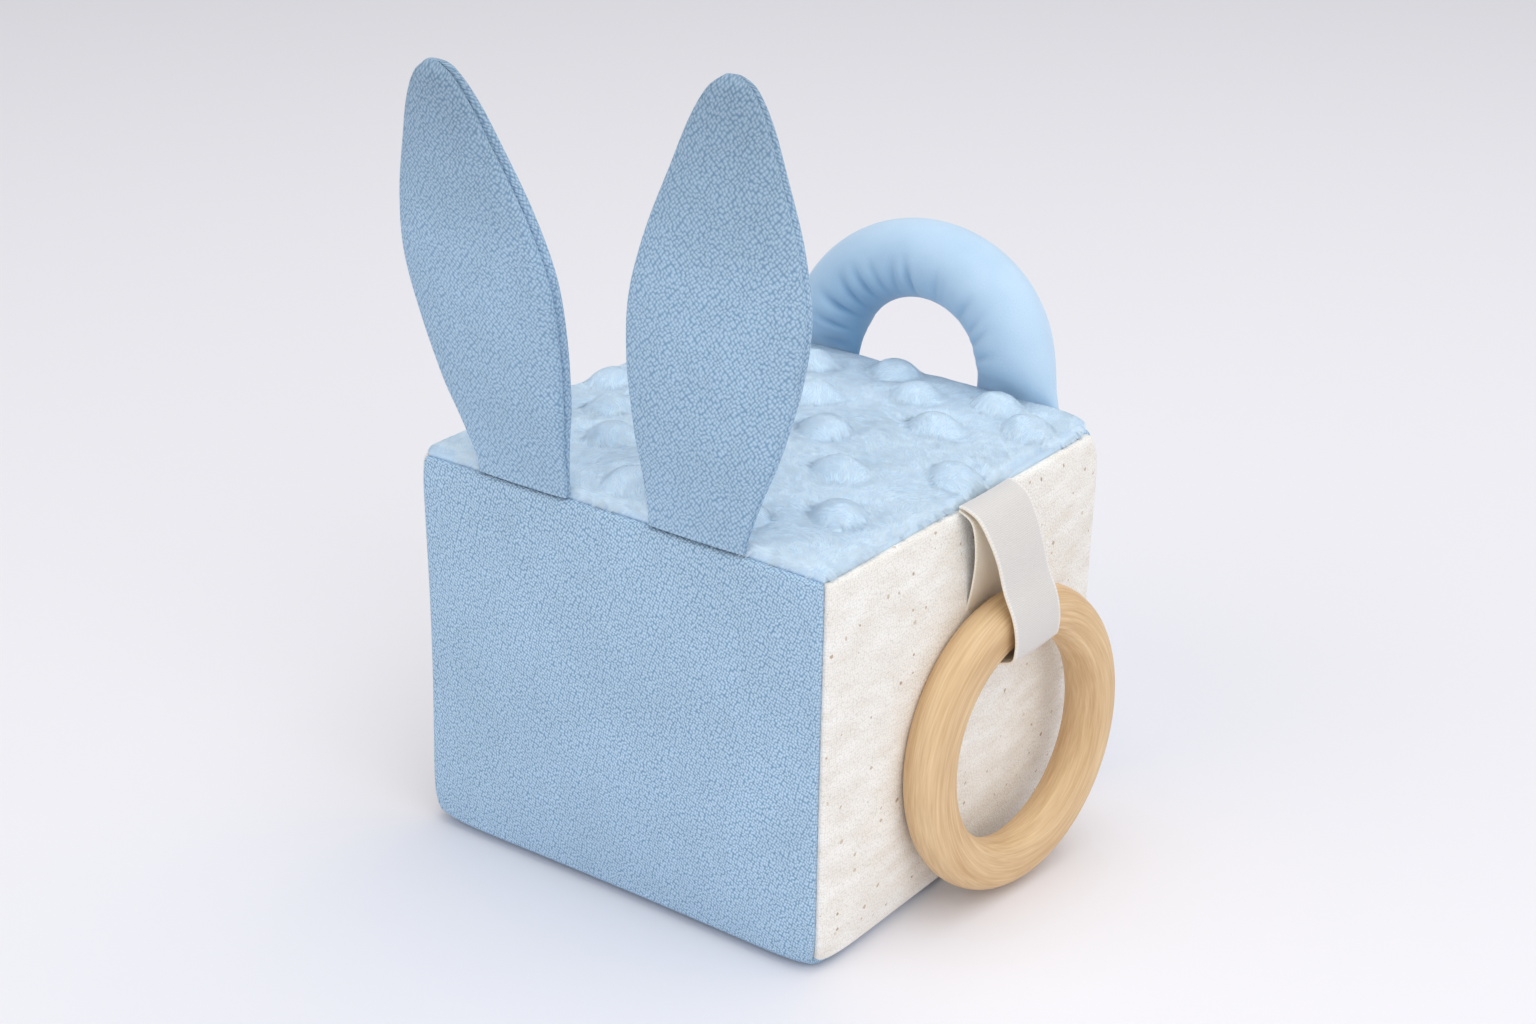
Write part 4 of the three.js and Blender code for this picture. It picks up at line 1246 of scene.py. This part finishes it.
dot_plush = plush_finish(
    "dotted_blue_plush", (0.56, 0.74, 0.91, 1), (0.66, 0.83, 0.98, 1), hair_size=0.5 * MM, depth=0.3 * MM)
blue_pile = pile_finish("blue_pile", (0.67, 0.84, 0.99, 1), (0.79, 0.92, 1.0, 1))
# The handle's plush takes painted shade from the handle's note.
handle_plush = plush_finish(
    "smooth_blue_plush", (0.49, 0.67, 0.86, 1), (0.57, 0.75, 0.92, 1), hair_size=0.3 * MM, depth=0.1 * MM,
    shaded_by="painted_handle_shade")
print("plushes ready")

# %% Flecked cream cotton
CREAM_TONES = (0.87, 0.82, 0.75, 1), (0.96, 0.94, 0.90, 1)
FLECK_TONES = (0.50, 0.37, 0.26, 1), (0.74, 0.64, 0.54, 1)
CLEAR_SHARE = 0.6
LARGEST_FLECK = 0.11


def cotton_finish(name):
    """Small loops with painted shade in the pits between them, cloudy cream, and flecks in some random
    cells.
    """
    finish, tree, shader = new_finish(
        name, Roughness=0.95, Specular_IOR_Level=0.2, Sheen_Weight=0.15, Sheen_Roughness=0.5)
    cloth = put(tree, "ShaderNodeUVMap", uv_map="cloth").outputs[0]
    place = swayed_place(tree, cloth, scale=700.0, detail=2.0, far=1.1 * MM)
    loops = put(
        tree, "ShaderNodeTexVoronoi", {"Vector": place, "Scale": 1700.0, "Randomness": 0.5},
        voronoi_dimensions="2D")
    caps = ranged(tree, loops.outputs["Distance"], 0.05, 0.75, 1.0, 0.0)
    streaks = put(tree, "ShaderNodeMapping", {
        "Vector": cloth, "Rotation": (0, 0, 0.5), "Scale": (1, 2.5, 1)}).outputs[0]
    cloud = put(tree, "ShaderNodeTexNoise", {"Vector": streaks, "Scale": 110.0, "Detail": 4.0})
    base = two_tones(tree, cloud.outputs["Fac"], *CREAM_TONES, from_share=0.3, to_share=0.65)
    # The loops are darker in the pits between them: painted shade.
    cream = coloured(tree, base, ranged(tree, caps, 0.0, 0.7, 0.84, 1.05))
    flecks = put(
        tree, "ShaderNodeTexVoronoi", {"Vector": place, "Scale": 230.0}, voronoi_dimensions="2D")
    chosen = put(tree, "ShaderNodeSeparateColor", {"Color": flecks.outputs["Color"]})
    size = ranged(tree, chosen.outputs[0], CLEAR_SHARE, 1.0, 0.0, LARGEST_FLECK)
    inside = put(
        tree, "ShaderNodeMath", {0: flecks.outputs["Distance"], 1: size},
        operation="LESS_THAN").outputs[0]
    mixed = put(
        tree, "ShaderNodeMix", {0: inside, 6: cream, 7: two_tones(tree, chosen.outputs[1], *FLECK_TONES)},
        data_type="RGBA")
    tree.links.new(mixed.outputs[2], shader.inputs["Base Color"])
    add_relief(tree, shader, caps, 0.6, 0.15 * MM)
    return finish


flecked_cotton = cotton_finish("flecked_cream_cotton")
print("cotton ready")

# %% White satin ribbon
SELVEDGE_START, SELVEDGE_END = 0.8 * MM, 0.5 * MM


def woven_bands(tree, cloth, direction, scale, distortion=0.0, detail_scale=1.0):
    return put(
        tree, "ShaderNodeTexWave",
        {"Vector": cloth, "Scale": scale, "Distortion": distortion, "Detail Scale": detail_scale},
        bands_direction=direction).outputs["Fac"]


def ribbon_finish(name, low, high):
    """Fine ribs across the ribbon, threads along it, and a row of beads at its woven edges."""
    finish, tree, shader = new_finish(
        name, Roughness=0.36, Specular_IOR_Level=0.6, Sheen_Weight=0.2, Sheen_Roughness=0.4)
    cloth = put(tree, "ShaderNodeUVMap", uv_map="cloth").outputs[0]
    across = put(tree, "ShaderNodeSeparateXYZ", {0: cloth}).outputs[0]
    ribs = woven_bands(tree, cloth, "Y", 760.0, 1.6, 3.0)
    threads = woven_bands(tree, cloth, "X", 1100.0, 0.8, 2.0)
    from_middle = put(tree, "ShaderNodeMath", {0: across}, operation="ABSOLUTE").outputs[0]
    edge = ranged(tree, from_middle, RIBBON_WIDTH / 2 - SELVEDGE_START, RIBBON_WIDTH / 2 - SELVEDGE_END)
    beads = ranged(tree, woven_bands(tree, cloth, "Y", 430.0), 0.0, 1.0, 0.45, 1.0)
    weave = {0: product(tree, ribs, threads), 1: product(tree, edge, beads)}
    shade = put(tree, "ShaderNodeMath", weave, operation="MAXIMUM").outputs[0]
    tree.links.new(two_tones(tree, shade, low, high), shader.inputs["Base Color"])
    add_relief(tree, shader, shade, 0.5, 0.15 * MM)
    return finish


white_satin = ribbon_finish("white_satin_ribbon", (0.70, 0.67, 0.64, 1), (0.88, 0.85, 0.82, 1))
# The reverse is the same satin painted lighter and warmer: painted light for the light that shines
# through the thin ribbon onto its shaded inner leg.
satin_reverse_painted_light = ribbon_finish("satin_ribbon_reverse_painted_light", (0.94, 0.84, 0.70, 1), (1.0, 0.94, 0.82, 1))
print("ribbon ready")

# %% Pale turned wood
WOOD_TONES = (0.60, 0.38, 0.19, 1), (0.82, 0.60, 0.35, 1)


def grain(tree, place, around, drawn_out, scale):
    """Noise that is drawn out along the ring: a small drawn_out gives long streaks."""
    drawn = put(tree, "ShaderNodeMapping", {"Vector": place, "Scale": (1.0, 1.0, drawn_out)}).outputs[0]
    turn = product(tree, around, drawn_out)
    return put(
        tree, "ShaderNodeTexNoise", {"Vector": drawn, "W": turn, "Scale": scale, "Detail": 3.0},
        noise_dimensions="4D").outputs["Fac"]


def wood_finish(name):
    finish, tree, shader = new_finish(name, Roughness=0.5, Specular_IOR_Level=0.4)
    place = put(tree, "ShaderNodeAttribute", attribute_name="band_place").outputs["Vector"]
    around = put(tree, "ShaderNodeAttribute", attribute_name="band_around").outputs["Fac"]
    bands = grain(tree, place, around, 0.10, 420.0)
    fibres = grain(tree, place, around, 0.045, 2600.0)
    both = put(tree, "ShaderNodeMath", {0: bands, 1: fibres}, operation="ADD").outputs[0]
    tone = two_tones(tree, ranged(tree, both, 0.7, 1.3), *WOOD_TONES)
    tree.links.new(tone, shader.inputs["Base Color"])
    add_relief(tree, shader, fibres, 0.15, 0.1 * MM)
    return finish


pale_wood = wood_finish("pale_turned_wood")
print("wood ready")

# %% Foam, felt and wadding
DARK_CELL_SHARE = 0.8


def filling_finish(name, colour, scale):
    finish, tree, shader = new_finish(name, Roughness=1.0, Specular_IOR_Level=0.1)
    place = put(tree, "ShaderNodeTexCoord").outputs["Object"]
    cells = put(tree, "ShaderNodeTexNoise", {"Vector": place, "Scale": scale, "Detail": 3.0})
    dark = [DARK_CELL_SHARE * c for c in colour[:3]] + [1]
    tree.links.new(two_tones(tree, cells.outputs["Fac"], dark, colour), shader.inputs["Base Color"])
    return finish


yellow_foam = filling_finish("yellow_foam", (0.87, 0.79, 0.52, 1), 900.0)
white_wadding = filling_finish("white_wadding", (0.90, 0.90, 0.88, 1), 400.0)
grey_felt = filling_finish("grey_felt", (0.70, 0.70, 0.68, 1), 700.0)
print("fillings ready")

# %% [markdown]
# ## Dress each piece
# Every piece now gets its finish. The cloths, the pile and the foam ride on the block's body of the
# CAD model, and the ribbon and the ring on bodies of their own. The ears and the handle are sewn
# into seams; here their places are only fixed in the world. The ribbon turns about its seam as one
# piece, and the ring turns in the ribbon.

# %% Dress and join
FINISHES = {
    "right_cloth": (flecked_cotton, "cream_cloth", "right_panel"),
    "left_cloth": (flecked_cotton, "cream_cloth", "left_panel"),
    "back_cloth": (front_knit, "blue_knit", "back_panel"),
    "front_cloth": (front_knit, "blue_knit", "front_panel"),
    "top_cloth": (dot_plush, "dimple_plush", "top_panel"),
    "base_cloth": (front_knit, "blue_knit", "bottom_panel"),
}
for name, (finish, slot, node) in FINISHES.items():
    part = cloths[name]
    part.data.materials.append(finish)
    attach(part, "block")
    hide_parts(node)
pile.data.materials.append(blue_pile)
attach(pile, "block")
foam.data.materials.append(yellow_foam)
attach(foam, "block")
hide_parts("foam_core")

for ear_name, ear in EARS.items():
    for word in ("front", "back"):
        skin = ear_skins[f"{ear_name}_{word}"]
        skin.data.materials.append(ear_knit)
        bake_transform(skin)
        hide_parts(f"{ear_name}_{word}")

    for node_name, piece in ear_fillings.items():
        if not node_name.startswith(ear_name):
            continue
        is_felt = "stiffener" in node_name
        piece.data.materials.append(grey_felt if is_felt else white_wadding)
        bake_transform(piece)
        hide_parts(node_name)

handle.data.materials.append(handle_plush)
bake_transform(handle)
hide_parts("handle_sleeve")

stuffing.data.materials.append(white_wadding)
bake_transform(stuffing)
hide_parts("handle_stuffing")

ribbon.data.materials[0] = white_satin
# The reverse side, which faces into the loop, gets the satin with painted light.
ribbon.data.materials[1] = satin_reverse_painted_light
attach(ribbon, "ribbon")
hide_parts("ribbon")

ring.data.materials.append(pale_wood)
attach(ring, "ring")
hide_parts("wooden_ring")
